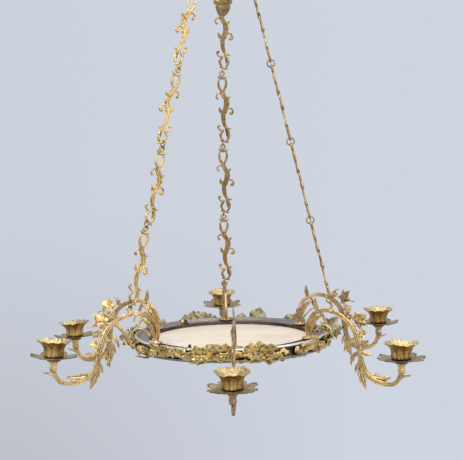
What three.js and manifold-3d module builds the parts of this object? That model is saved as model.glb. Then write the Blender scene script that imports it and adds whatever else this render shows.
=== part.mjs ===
// Hanging candle lamp: a cast ring frame with six scroll arms, carried by three chains of cast links
// from a small crown. Millimetres, +Z up. The origin is the point of the hanging ring that rests on
// the ceiling hook. The lamp's axis is the Z axis, and the front of the lamp faces -Y.
import * as THREE from 'three';
import { mergeVertices } from 'three/addons/utils/BufferGeometryUtils.js';
import Module from 'manifold-3d';

const wasm = await Module();
wasm.setup();

// Clearances
const seatGap = 0.3;
const shankGap = 0.3;
const swivelGap = 0.3;
const plateGap = 0.4;
const ringSeatGap = 0.45;

// Overall heights and the hanging ring
const hangDrop = 545;
const hangRingRadius = 13;
const hangRingWire = 2;
const rodEyeRadius = 6;
const rodEyeWire = 1.8;
const rodRadius = 2.5;
const rodNeckLength = 33;

// Ring frame
const flangeInnerRadius = 113;
const flangeWidth = 16;
const flangeThickness = 2;
const flangeDish = 1.7;
const flangeDishWidth = 3;
const rimRollRadius = 3.5;
const wallHeight = 13;
const wallThickness = 2;
const footRollRadius = 1.9;

// Plate seat and centre plate
const seatWall = 0.8;
const seatLedge = 6;
const seatLip = 0.4;
const seatDepth = 7.8;
const plateThickness = 2.6;

// Arms
const armCount = 6;
const firstArmAngle = 92.7;
const armFootPlateThickness = 1.6;
const footOverhang = 1;
const footSaucerHeight = 3.6;
const footSaucerStretch = 1.33;
const armShankRadius = 2.5;
const armReach = 146;
const archHeight = 42;
const archReach = 36;
const stemReach = 80;
const dipReach = 121;
const dipDepth = 47;
const socketDepth = 12.4;
const armThickness = 5;
const armLeafThickness = 2.6;
const vineLeafThickness = 1.8;
const calyxRadius = 9.3;
const calyxHeight = 18;
const calyxStemRadius = 3.2;
const armShankProud = 1.5;
const armPostFootRadius = 3.6;
const armPostNeckRadius = 1.9;
const armPostSink = 1;
const armStripWidths = [6.2, 5.8, 5.6, 5.8, 6.2, 6.6, 6.2, 6.2, 6.4, 5.6, 4.8];
const armCurlWidths = [2.8, 2.4, 1.6];
const stubRadius = 2.6;
const stubLength = 5.5;
const armNutRadius = 4.6;
const armNutThickness = 3.4;

// Small differences between the six set arms: lift of the socket as the arm leans about its foot,
// turn about the foot, chain or not
const armSettings = [
  { place: 'back', rise: 15, turn: 0, chain: 'back' },
  { place: 'back_left', rise: -7.5, turn: 0, chain: null },
  { place: 'front_left', rise: 10.3, turn: -3, chain: 'left' },
  { place: 'front', rise: -8.5, turn: -4.5, chain: null },
  { place: 'front_right', rise: -0.3, turn: -13, chain: 'right' },
  { place: 'back_right', rise: 0, turn: -2.5, chain: null },
];

// Leaves on every arm: station along the strip's path (0 at the foot, 4 on the arch, 7 on the stem,
// 12 at the socket), heading in degrees, length, width and sideways bow
const armLeaves = [
  { from: 0.3, heading: 50, length: 39, width: 11, bow: 5 },
  { from: 2.9, heading: 108, length: 19, width: 7, bow: 1.5 },
  { from: 3.2, heading: -62, length: 21, width: 5, bow: 0 },
  { from: 6.5, heading: -133, length: 27, width: 6, bow: -4 },
  { from: 7.26, heading: -15, length: 22, width: 6, bow: -2 },
  { from: 7.35, heading: -123, length: 24, width: 6, bow: -3 },
  { from: 7.5, heading: -18, length: 26, width: 6, bow: -2 },
  { from: 7.8, heading: -80, length: 42, width: 13, bow: -2 },
  { from: 7.95, heading: -117, length: 17, width: 5, bow: -2 },
  { from: 8.77, heading: 2, length: 34, width: 8, bow: -3 },
  { from: 10.97, heading: 12, length: 24, width: 5.5, bow: -3 },
];
// Vine leaves on the shoulder: station, heading and size
const armVineLeaves = [
  { from: 5.27, heading: 62, size: 15 },
  { from: 5.95, heading: 28, size: 12 },
  { from: 6.91, heading: 20, size: 9 },
];
// Curls in the arch and on the shoulder: station, heading, length and turn
const armCurls = [
  { from: 0.8, heading: 35, length: 38, turn: -75 },
  { from: 5.32, heading: -55, length: 44, turn: 75 },
];

// Drip pans and candle nozzles
const panRadius = 30;
const panLobes = 8;
const panLobeDepth = 3;
const panFlatRadius = 12;
const panThickness = 1;
const panRise = 1.6;
const panNotchRise = 1;
const nozzleHeight = 21;
const nozzleBaseRadius = 12.5;
const nozzleWaistRadius = 13.6;
const nozzleRimRadius = 21.5;
const nozzleLobes = 12;
const nozzleLobeDepth = 0.7;
const candleBoreRadius = 11;
const nozzleFloor = 6.5;

// Chains
const linksPerChain = 4;
const linkThickness = 3.2;
const linkEyeRadius = 4.4;
const linkEyeHole = 2.4;
const linkHalfWidth = 7.5;
const linkStrand = 2.6;
const ringRadius = 5.1;
const ringWire = 0.9;
const crownHookRadius = 44.5;
const crownHookDrop = 63;
const armEyeReach = archReach;
const armEyeLift = 16;
const armEyeRadius = 5;
const armEyeThickness = 3;
const chainFacing = { back: 0, left: 213, right: 272 };

// Crown
const crownHubRadius = 9;
const crownHubHeight = 16;
const crownArmThickness = 4;
const crownBracketRise = 7;
const crownBracketWidths = [6, 5, 4.4, 3.8, 3.6];
const crownScroll = { heading: 10, length: 26, turn: 210, widths: [3, 2.6, 1.8] };
const acornRadius = 10;
const acornRimRadius = 12.8;
const acornLength = 20;
const crownNutRadius = 5;
const crownNutThickness = 4;

// Garland
const garlandPieces = 3;
const garlandSpan = 112;
const garlandFirstAngle = 3.5;
const garlandStemRadius = 2.4;
const garlandDrop = 6;
const garlandWave = 2.6;
const garlandLeafThickness = 1.4;
const garlandLeaves = 11;
const garlandLeafSize = 11.5;
const garlandLeafSpread = 1.25;
const garlandLeafRound = 0.55;
const lugWidth = 5;
const lugThickness = 1.2;
const studRadius = 4.5;
const studHeight = 6.8;
const knobRadius = 2.6;

// Facet counts
const frameSides = 32;
const ringSides = 8;
const hangRingSides = 16;
const rodEyeSides = 12;
const ringWireSides = 4;
const garlandStemSteps = 14;
const shortLeaf = 28;
const roundSides = 8;
const shankSides = 6;
const saucerSides = 12;

// Worked-out places
const flangeTop = -hangDrop;
const flangeOuter = flangeInnerRadius + flangeWidth;
const rimOuterRadius = flangeOuter + 2 * rimRollRadius;
// Radius and height, above the flange, of the rim roll's inner shoulder and its crest
const rimShoulder = [flangeOuter + rimRollRadius * 0.5, rimRollRadius * 0.8];
const rimCrest = [flangeOuter + rimRollRadius * 1.4, rimRollRadius];
const wallOuterRadius = rimOuterRadius - rimRollRadius * 0.5;
const armStep = 360 / armCount;
const armFootRadius = flangeInnerRadius + flangeWidth / 2;
const armFootPlateRadius = flangeWidth / 2 + footOverhang;
// Height, from a ring's centre, at which a bar or eye of the given thickness bears on its wire
const bearingInRing = (thickness) => Math.sqrt((ringRadius - ringWire) ** 2 - (thickness / 2) ** 2) - ringSeatGap;
const eyeBelowRing = bearingInRing(linkThickness) + linkEyeHole;
const full = Math.PI * 2;

const rad = THREE.MathUtils.degToRad;
const flat = (x, y) => new THREE.Vector2(x, y);
const point = (x, y, z) => new THREE.Vector3(x, y, z);

// Materials
function metal(color, roughness) {
  return new THREE.MeshStandardMaterial({ color, roughness, metalness: 1 });
}
const gilt = metal(0xc79a4b, 0.35);
const bronze = metal(0x7d6135, 0.45);
const greenGilt = metal(0x8f8458, 0.5);
const panBrass = metal(0xa39a72, 0.45);
const pewter = metal(0x8c8688, 0.35);
const darkIron = metal(0x3a2c26, 0.5);
const milkGlass = new THREE.MeshStandardMaterial({ color: 0xe9dfcf, roughness: 0.4, metalness: 0 });

// Closed solid from a geometry, with its vertices merged and its empty triangles left out
function solidOf(geometry) {
  const bare = geometry.clone();
  bare.deleteAttribute('normal');
  bare.deleteAttribute('uv');
  const merged = mergeVertices(bare, 1e-4);
  const index = merged.index.array;
  const kept = [];
  for (let i = 0; i < index.length; i += 3) {
    const [a, b, c] = [index[i], index[i + 1], index[i + 2]];
    if (a !== b && b !== c && c !== a) {
      kept.push(a, b, c);
    }
  }
  return new wasm.Manifold(
    new wasm.Mesh({
      numProp: 3,
      vertProperties: new Float32Array(merged.attributes.position.array),
      triVerts: new Uint32Array(kept),
    })
  );
}

function geometryOf(solid) {
  const mesh = solid.getMesh();
  const geometry = new THREE.BufferGeometry();
  geometry.setAttribute('position', new THREE.BufferAttribute(mesh.vertProperties, 3));
  geometry.setIndex(new THREE.BufferAttribute(mesh.triVerts, 1));
  geometry.computeVertexNormals();
  return geometry;
}

function joined(geometries) {
  return geometries.map(solidOf).reduce((sum, next) => sum.add(next));
}

// Revolved piece from (radius, height) pairs, turned about +Z
function revolved(profile, sides) {
  const outline = profile.map(([radius, height]) => flat(radius, height));
  const geometry = new THREE.LatheGeometry(outline, sides);
  geometry.rotateX(Math.PI / 2);
  return geometry;
}

// Closed ring of a (radius, height) section about +Z
function spunRing(section, sides) {
  return revolved([...section, section[0]], sides);
}

function disc(radius, thickness, sides) {
  const geometry = new THREE.CylinderGeometry(radius, radius, thickness, sides);
  geometry.rotateX(Math.PI / 2);
  return geometry;
}

function torus(radius, wire, sides, wireSides) {
  return new THREE.TorusGeometry(radius, wire, wireSides, sides);
}

// Slab of an outline, centred on the outline's plane
function slab(shape, thickness) {
  const geometry = new THREE.ExtrudeGeometry(shape, { depth: thickness, bevelEnabled: false });
  geometry.translate(0, 0, -thickness / 2);
  return geometry;
}

// Strip of changing width along a smooth curve through the given points
function ribbon(points, widths, steps) {
  const curve = new THREE.SplineCurve(points);
  const left = [];
  const right = [];
  for (let i = 0; i <= steps; i += 1) {
    const share = i / steps;
    const middle = curve.getPointAt(share);
    const along = curve.getTangentAt(share);
    const place = share * (widths.length - 1);
    const before = Math.min(Math.floor(place), widths.length - 2);
    const half = THREE.MathUtils.lerp(widths[before], widths[before + 1], place - before) / 2;
    left.push(flat(middle.x - along.y * half, middle.y + along.x * half));
    right.unshift(flat(middle.x + along.y * half, middle.y - along.x * half));
  }
  return new THREE.Shape([...left, ...right]);
}

// Points of a curl whose bend grows along its length
function curlPoints(start, heading, length, turn, steps = 6, growth = 1.6) {
  const points = [start.clone()];
  const step = length / steps;
  for (let i = 1; i <= steps; i += 1) {
    const angle = rad(heading + turn * ((i - 0.5) / steps) ** growth);
    const last = points[points.length - 1];
    points.push(flat(last.x + Math.cos(angle) * step, last.y + Math.sin(angle) * step));
  }
  return points;
}

// Pointed leaf from a broad base to a tip, bowed sideways by bend
function leaf(base, tip, width, bend = 0, steps = 3) {
  const baseShare = 0.16;
  const along = tip.clone().sub(base);
  const side = flat(-along.y, along.x).normalize();
  const middle = base.clone().lerp(tip, 0.5).addScaledVector(side, bend);
  const spine = new THREE.QuadraticBezierCurve(base, middle, tip);
  const left = [];
  const right = [];
  for (let i = 0; i < steps; i += 1) {
    const share = i / steps;
    const half = (width / 2) * Math.sin(Math.PI * (baseShare + (1 - baseShare) * share));
    const centre = spine.getPoint(share);
    const tangent = spine.getTangent(share);
    left.push(flat(centre.x - tangent.y * half, centre.y + tangent.x * half));
    right.unshift(flat(centre.x + tangent.y * half, centre.y - tangent.x * half));
  }
  return new THREE.Shape([...left, tip.clone(), ...right]);
}

// Five-pointed vine leaf, its stalk end at base, pointing along heading; round draws the points in
function vineLeaf(base, heading, size, round = 0) {
  const evenReach = 0.85;
  const lobes = [
    [-115, 0.66],
    [-62, 0.86],
    [-32, 0.52],
    [0, 1.1],
    [32, 0.52],
    [62, 0.86],
    [115, 0.66],
    [180, 0.66],
  ];
  const centreShift = size * 0.6;
  const centre = flat(
    base.x + Math.cos(rad(heading)) * centreShift,
    base.y + Math.sin(rad(heading)) * centreShift
  );
  const outline = lobes.map(([turn, reach]) => {
    const angle = rad(heading + turn);
    const radius = size * THREE.MathUtils.lerp(reach, evenReach, round);
    return flat(centre.x + Math.cos(angle) * radius, centre.y + Math.sin(angle) * radius);
  });
  return new THREE.Shape(outline);
}

function circlePoints(centre, radius, sides) {
  const points = [];
  for (let i = 0; i < sides; i += 1) {
    const angle = ((i + 0.5) / sides) * full;
    points.push(flat(centre.x + Math.cos(angle) * radius, centre.y + Math.sin(angle) * radius));
  }
  return points;
}

function ringShape(centre, outer, hole, sides) {
  const shape = new THREE.Shape(circlePoints(centre, outer, sides));
  shape.holes.push(new THREE.Path(circlePoints(centre, hole, sides)));
  return shape;
}

// Outline from a start point through steps of [end], or [end, control, count] for a bend
function traced(start, steps) {
  const points = [start];
  for (const [end, control, count = 2] of steps) {
    const last = points[points.length - 1];
    if (control) {
      points.push(...new THREE.QuadraticBezierCurve(last, control, end).getPoints(count).slice(1));
    } else {
      points.push(end);
    }
  }
  return points;
}

// Round wire of few sides along a route
function wireAlong(route, radius, steps) {
  return new THREE.ExtrudeGeometry(new THREE.Shape(circlePoints(flat(0, 0), radius, ringWireSides)), {
    steps,
    curveSegments: 1,
    bevelEnabled: false,
    extrudePath: new THREE.CatmullRomCurve3(route),
  });
}

// Chain places
const hookHeight = -crownHookDrop;
// Straight chain from the crown's hook to the ring over an unturned arm's eye
const chainRun = armFootRadius + armEyeReach - crownHookRadius;
const chainDrop = hangDrop - crownHookDrop - archHeight - armEyeLift;
const chainLength = Math.hypot(chainRun, chainDrop);
const linkPitch = chainLength / linksPerChain;

function armAngle(index) {
  return firstArmAngle + index * armStep;
}

function armFrame(index) {
  const { turn } = armSettings[index % armSettings.length];
  const foot = armAngle(index);
  const frame = new THREE.Matrix4().makeTranslation(
    Math.cos(rad(foot)) * armFootRadius,
    Math.sin(rad(foot)) * armFootRadius,
    flangeTop
  );
  return frame.multiply(new THREE.Matrix4().makeRotationZ(rad(foot + turn)));
}

// Angle through which an arm leans about its foot to give its socket the stated lift
function armLean(index) {
  return Math.asin(armSettings[index % armSettings.length].rise / armReach);
}

// Top and bottom of the chain that hangs over the arm, and the height of the arm's eye
function chainLine(index) {
  const angle = rad(armAngle(index));
  const top = point(Math.cos(angle) * crownHookRadius, Math.sin(angle) * crownHookRadius, hookHeight);
  const bottom = point(armEyeReach, 0, 0).applyMatrix4(armFrame(index));
  const run = Math.hypot(top.x - bottom.x, top.y - bottom.y);
  bottom.z = hookHeight - Math.sqrt(chainLength ** 2 - run ** 2);
  const up = top.clone().sub(bottom).normalize();
  const facing = rad(chainFacing[armSettings[index % armSettings.length].chain]);
  const across = point(Math.cos(facing), Math.sin(facing), 0);
  across.addScaledVector(up, -across.dot(up)).normalize();
  const through = across.clone().cross(up);
  return { top, bottom, up, across, through };
}

// Placing matrix at a distance below the chain's top, X across the links, Y up the chain
function chainFrame(line, below, flipped) {
  const place = line.top.clone().addScaledVector(line.up, -below);
  const sign = flipped ? -1 : 1;
  const across = line.across.clone().multiplyScalar(sign);
  const through = line.through.clone().multiplyScalar(sign);
  return new THREE.Matrix4().makeBasis(across, line.up, through).setPosition(place);
}

// Connecting ring, in the plane across the links
function connectingRing() {
  const geometry = torus(ringRadius, ringWire, ringSides, ringWireSides);
  geometry.rotateZ(Math.PI / 2);
  geometry.rotateY(Math.PI / 2);
  return solidOf(geometry);
}

// Cast link, traced down its right side and up its left: eye, crossbar, heart-shaped opening, waving
// stem with thorn, curls and leaf tips, and the lower loop. Its origin is the centre of the ring
// above it, and its bar hangs in the ring one pitch below.
function castLink() {
  const eyeCentre = flat(0, -eyeBelowRing);
  const crossbar = -eyeBelowRing - linkEyeRadius - linkStrand * 0.3;
  const bar = -linkPitch + bearingInRing(linkThickness) - linkStrand / 2;
  const span = crossbar - bar;
  // Across in half widths of the link, down in shares of the span from crossbar to bar
  const at = (across, share) => flat(across * linkHalfWidth, crossbar - share * span);
  const neck = linkEyeRadius * Math.SQRT1_2;
  const outline = traced(
    flat(neck, eyeCentre.y - neck),
    [
      // Crossbar end, heart, thorn
      [at(1.05, -0.018)],
      [at(1.05, 0.018)],
      [at(0.55, 0.17), at(1.45, 0.09)],
      [at(0.68, 0.27)],
      [at(1.5, 0.31)],
      [at(0.7, 0.36)],
      // Right curl with its ball
      [at(0.5, 0.44)],
      [at(2.0, 0.5), at(1.9, 0.42)],
      [at(1.6, 0.58)],
      [at(1.4, 0.525)],
      [at(0.55, 0.515)],
      // Lower stem, leaf tip, lower loop
      [at(0.55, 0.68)],
      [at(1.45, 0.8)],
      [at(0.68, 0.835)],
      [at(0, 1 + linkStrand / 2 / span), at(1.5, 1), 3],
      [at(-0.72, 0.84), at(-1.5, 1), 3],
      // Low curl
      [at(-1.55, 0.78)],
      [at(-1.3, 0.73)],
      [at(-1.05, 0.78)],
      [at(-0.5, 0.77)],
      // Stem and left leaf tip
      [at(-0.48, 0.62)],
      [at(-0.72, 0.49)],
      [at(-0.05, 0.49)],
      // Left curl with its ball
      [at(-0.15, 0.33)],
      [at(-0.6, 0.28)],
      [at(-0.75, 0.34)],
      [at(-1.15, 0.365)],
      [at(-1.0, 0.23), at(-1.8, 0.28)],
      [at(-0.5, 0.19)],
      // Heart and crossbar end
      [at(-1.05, 0.018), at(-1.45, 0.09)],
      [at(-1.05, -0.018)],
      [flat(-neck, eyeCentre.y - neck)],
    ]
  );
  // Eye, round from its left foot over the top to its right foot
  const eyeSteps = 5;
  for (let i = 1; i < eyeSteps; i += 1) {
    const angle = rad(225 - 270 * (i / eyeSteps));
    outline.push(flat(Math.cos(angle) * linkEyeRadius, eyeCentre.y + Math.sin(angle) * linkEyeRadius));
  }
  const inset = linkStrand / linkHalfWidth;
  const heart = traced(at(0, 0.155), [
    [at(1 - inset, 0.065), at(0.85, 0.12)],
    [at(0, linkStrand / 2 / span), at(0.6, 0.015)],
    [at(inset - 1, 0.065), at(-0.6, 0.015)],
    [at(0, 0.155), at(-0.85, 0.12)],
  ]);
  const loop = traced(at(0, 1 - linkStrand / 2 / span), [
    [at(1 - inset, 0.915), at(0.7, 0.985)],
    [at(0, 0.83), at(0.75, 0.86)],
    [at(inset - 1, 0.915), at(-0.75, 0.86)],
    [at(0, 1 - linkStrand / 2 / span), at(-0.7, 0.985)],
  ]);
  const shape = new THREE.Shape(outline);
  shape.holes.push(new THREE.Path(heart.slice(1)));
  shape.holes.push(new THREE.Path(loop.slice(1)));
  shape.holes.push(new THREE.Path(circlePoints(eyeCentre, linkEyeHole, 6)));
  return solidOf(slab(shape, linkThickness));
}

// Scroll arm in its own frame: X outward from the foot, Z up, foot on the flange
function armSolid(index) {
  const { chain } = armSettings[index % armSettings.length];
  const lean = armLean(index);
  const between = THREE.MathUtils.lerp;
  const pieces = [];
  const add = (shape, thickness) => {
    const geometry = slab(shape, thickness);
    geometry.rotateX(Math.PI / 2);
    geometry.rotateY(-lean);
    pieces.push(geometry);
  };
  const socketTop = -socketDepth;
  const stemTop = socketTop - calyxHeight + 2;
  const top = archHeight;
  const low = -dipDepth;

  // Main strip: foot, arch, falling stem, bottom curve and socket stem
  const path = [
    flat(0, armFootPlateThickness),
    flat(-archReach * 0.08, top * 0.4),
    flat(archReach * 0.17, top * 0.8),
    flat(archReach * 0.55, top * 0.97),
    flat(archReach, top),
    flat(between(archReach, stemReach, 0.5), top * 0.82),
    flat(between(archReach, stemReach, 0.86), top * 0.45),
    flat(stemReach, 0),
    flat(between(stemReach, dipReach, 0.14), low * 0.52),
    flat(between(stemReach, dipReach, 0.42), low * 0.86),
    flat(dipReach, low),
    flat(between(dipReach, armReach, 0.66), low * 0.92),
    flat(armReach, stemTop),
  ];
  const spine = new THREE.SplineCurve(path);
  add(ribbon(path, armStripWidths, 18), armThickness);

  // Leaves, vine leaves and curls that grow from the strip
  const station = (from) => spine.getPoint(from / (path.length - 1));
  const reached = (base, heading, length) =>
    flat(base.x + Math.cos(rad(heading)) * length, base.y + Math.sin(rad(heading)) * length);
  for (const { from, heading, length, width, bow } of armLeaves) {
    const base = station(from);
    const steps = length < shortLeaf ? 2 : 3;
    add(leaf(base, reached(base, heading, length), width, bow, steps), armLeafThickness);
  }
  for (const { from, heading, size } of armVineLeaves) {
    add(vineLeaf(station(from), heading, size), vineLeafThickness);
  }
  for (const { from, heading, length, turn } of armCurls) {
    const curl = curlPoints(station(from), heading, length, turn, 4);
    add(ribbon(curl, armCurlWidths, 4), armLeafThickness);
  }

  // Foot: an oval saucer with a raised edge, over a threaded shank
  const shankEnd = -flangeThickness - armNutThickness - armShankProud;
  const saucer = revolved(
    [
      [0, seatGap],
      [armFootPlateRadius * 0.8, seatGap],
      [armFootPlateRadius, footSaucerHeight * 0.75],
      [armFootPlateRadius * 0.92, footSaucerHeight],
      [armFootPlateRadius * 0.66, seatGap + armFootPlateThickness],
      [0, seatGap + armFootPlateThickness],
    ],
    saucerSides
  );
  saucer.scale(1, footSaucerStretch, 1);
  const shank = disc(armShankRadius, seatGap + armFootPlateThickness / 2 - shankEnd, roundSides);
  shank.translate(0, 0, (seatGap + armFootPlateThickness / 2 + shankEnd) / 2);
  pieces.push(saucer, shank);

  // Calyx under the drip pan, with the stub that the nozzle screws on
  const calyx = revolved(
    [
      [0, -calyxHeight],
      [calyxStemRadius, -calyxHeight],
      [calyxRadius * 0.48, -calyxHeight * 0.53],
      [calyxRadius * 0.75, -calyxHeight * 0.26],
      [calyxRadius, -calyxHeight * 0.1],
      [calyxRadius, 0],
      [stubRadius, 0],
      [stubRadius, stubLength],
      [0, stubLength],
    ],
    roundSides
  );
  calyx.translate(armReach, 0, socketTop);
  calyx.rotateY(-lean);
  pieces.push(calyx);

  // Eye for the chain, turned to face as the links do
  if (chain) {
    const line = chainLine(index);
    const toArm = armFrame(index).invert().multiply(chainFrame(line, chainLength, false));
    const drop = bearingInRing(armEyeThickness) + linkEyeHole;
    const eye = slab(ringShape(flat(0, -drop), armEyeRadius, linkEyeHole, 8), armEyeThickness);
    eye.applyMatrix4(toArm);
    const centre = point(0, -drop, 0).applyMatrix4(toArm);
    const postTop = centre.z - (linkEyeHole + armEyeRadius) / 2;
    const postBottom = top * Math.cos(lean) + centre.x * Math.sin(lean) - armPostSink;
    const post = revolved(
      [
        [0, postBottom],
        [armPostFootRadius, postBottom],
        [armPostNeckRadius, (postTop + postBottom) / 2],
        [armPostNeckRadius * 1.25, postTop],
        [0, postTop],
      ],
      shankSides
    );
    post.translate(centre.x, centre.y, 0);
    pieces.push(eye, post);
  }
  return joined(pieces);
}

function armNut() {
  const hexagon = disc(armNutRadius, armNutThickness, 6);
  const bore = disc(armShankRadius + shankGap, armNutThickness * 2, roundSides);
  const nut = solidOf(hexagon).subtract(solidOf(bore));
  return nut.translate([0, 0, -flangeThickness - seatGap - armNutThickness / 2]);
}

// Drip pan: a thin leafy dish with a flat middle, drawn up to a waved edge of lobes
function dripPan() {
  const sides = panLobes * 2;
  const rows = [
    { radius: () => stubRadius + shankGap, rise: () => 0 },
    { radius: () => panFlatRadius, rise: () => 0 },
    {
      radius: (step) => panRadius + (step % 2 === 0 ? -panLobeDepth : panLobeDepth),
      rise: (step) => panRise + (step % 2 === 0 ? panNotchRise : 0),
    },
  ];
  const positions = [];
  const index = [];
  const corner = (row, side, top) => (top * rows.length + row) * sides + (side % sides);
  for (const height of [0, panThickness]) {
    for (const row of rows) {
      for (let i = 0; i < sides; i += 1) {
        const angle = (i / sides) * full;
        const radius = row.radius(i);
        positions.push(Math.cos(angle) * radius, Math.sin(angle) * radius, row.rise(i) + height);
      }
    }
  }
  const last = rows.length - 1;
  const quad = (a, b, c, d) => index.push(a, b, c, a, c, d);
  for (let i = 0; i < sides; i += 1) {
    for (let row = 0; row < last; row += 1) {
      quad(corner(row, i, 1), corner(row + 1, i, 1), corner(row + 1, i + 1, 1), corner(row, i + 1, 1));
      quad(corner(row, i + 1, 0), corner(row + 1, i + 1, 0), corner(row + 1, i, 0), corner(row, i, 0));
    }
    quad(corner(last, i, 0), corner(last, i + 1, 0), corner(last, i + 1, 1), corner(last, i, 1));
    quad(corner(0, i + 1, 0), corner(0, i, 0), corner(0, i, 1), corner(0, i + 1, 1));
  }
  const geometry = new THREE.BufferGeometry();
  geometry.setAttribute('position', new THREE.Float32BufferAttribute(positions, 3));
  geometry.setIndex(index);
  return solidOf(geometry);
}

// Candle nozzle: a fluted flower cup with a round bore for the candle
function candleNozzle() {
  const sides = nozzleLobes * 2;
  const wave = (step) => (step % 2 === 0 ? nozzleLobeDepth : -nozzleLobeDepth);
  const holeDepth = stubLength - panThickness;
  const rows = [
    [() => nozzleBaseRadius, 0],
    [(i) => nozzleWaistRadius + wave(i) * 0.5, nozzleHeight * 0.5],
    [(i) => nozzleRimRadius + wave(i), nozzleHeight],
    [() => candleBoreRadius, nozzleHeight * 0.65],
    [() => candleBoreRadius, nozzleFloor],
  ];
  const positions = [];
  const index = [];
  for (const [radius, height] of rows) {
    for (let i = 0; i < sides; i += 1) {
      const angle = (i / sides) * full;
      positions.push(Math.cos(angle) * radius(i), Math.sin(angle) * radius(i), height);
    }
  }
  const corner = (row, side) => row * sides + (side % sides);
  const quad = (a, b, c, d) => index.push(a, b, c, a, c, d);
  for (let row = 0; row + 1 < rows.length; row += 1) {
    for (let i = 0; i < sides; i += 1) {
      quad(corner(row, i), corner(row, i + 1), corner(row + 1, i + 1), corner(row + 1, i));
    }
  }
  // Flat base and the flat floor of the bore
  const base = positions.length / 3;
  positions.push(0, 0, 0);
  const floor = positions.length / 3;
  positions.push(0, 0, nozzleFloor);
  for (let i = 0; i < sides; i += 1) {
    index.push(base, corner(0, i + 1), corner(0, i));
    index.push(floor, corner(rows.length - 1, i), corner(rows.length - 1, i + 1));
  }
  const geometry = new THREE.BufferGeometry();
  geometry.setAttribute('position', new THREE.Float32BufferAttribute(positions, 3));
  geometry.setIndex(index);
  const screwHole = disc(stubRadius + shankGap, holeDepth * 2, roundSides);
  return solidOf(geometry).subtract(solidOf(screwHole));
}

// Ring frame: flange dished at its inner edge, rolled rim, wall and rolled bottom edge, in one section
function ringFrame() {
  const wallInner = wallOuterRadius - wallThickness;
  const wallFoot = -wallHeight;
  const section = [
    [flangeInnerRadius, -flangeDish],
    [flangeInnerRadius + flangeDishWidth, 0],
    [flangeOuter, 0],
    rimShoulder,
    rimCrest,
    [rimOuterRadius, 0],
    [wallOuterRadius, -rimRollRadius],
    [wallOuterRadius, wallFoot + footRollRadius],
    [wallOuterRadius + footRollRadius * 0.8, wallFoot],
    [wallOuterRadius, wallFoot - footRollRadius],
    [wallInner, wallFoot - footRollRadius],
    [wallInner, -flangeThickness],
    [flangeInnerRadius + flangeDishWidth, -flangeThickness],
    [flangeInnerRadius, -flangeThickness - flangeDish],
  ];
  let frame = solidOf(spunRing(section.reverse(), frameSides));
  for (let i = 0; i < armCount; i += 1) {
    const hole = disc(armShankRadius + shankGap, flangeThickness * 3, roundSides);
    hole.rotateZ(rad(armAngle(i)));
    hole.translate(Math.cos(rad(armAngle(i))) * armFootRadius, Math.sin(rad(armAngle(i))) * armFootRadius, 0);
    frame = frame.subtract(solidOf(hole));
  }
  return frame.translate([0, 0, flangeTop]);
}

// Plate seat: thin spun lip with a ledge inside the flange
function plateSeat() {
  const outer = flangeInnerRadius - seatGap;
  const inner = outer - seatWall;
  const ledgeTop = -seatDepth + seatWall;
  const section = [
    [outer, seatLip],
    [inner, seatLip],
    [inner, ledgeTop],
    [inner - seatLedge, ledgeTop],
    [inner - seatLedge, -seatDepth],
    [outer, -seatDepth],
  ];
  return solidOf(spunRing(section, frameSides)).translate([0, 0, flangeTop]);
}

function centrePlate() {
  const radius = flangeInnerRadius - seatGap - seatWall - plateGap;
  const bottom = -seatDepth + seatWall + seatGap;
  const edge = plateThickness * 0.25;
  const profile = [
    [0, bottom],
    [radius - edge, bottom],
    [radius, bottom + edge],
    [radius, bottom + plateThickness - edge],
    [radius - edge, bottom + plateThickness],
    [0, bottom + plateThickness],
  ];
  return solidOf(revolved(profile, frameSides)).translate([0, 0, flangeTop]);
}

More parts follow.
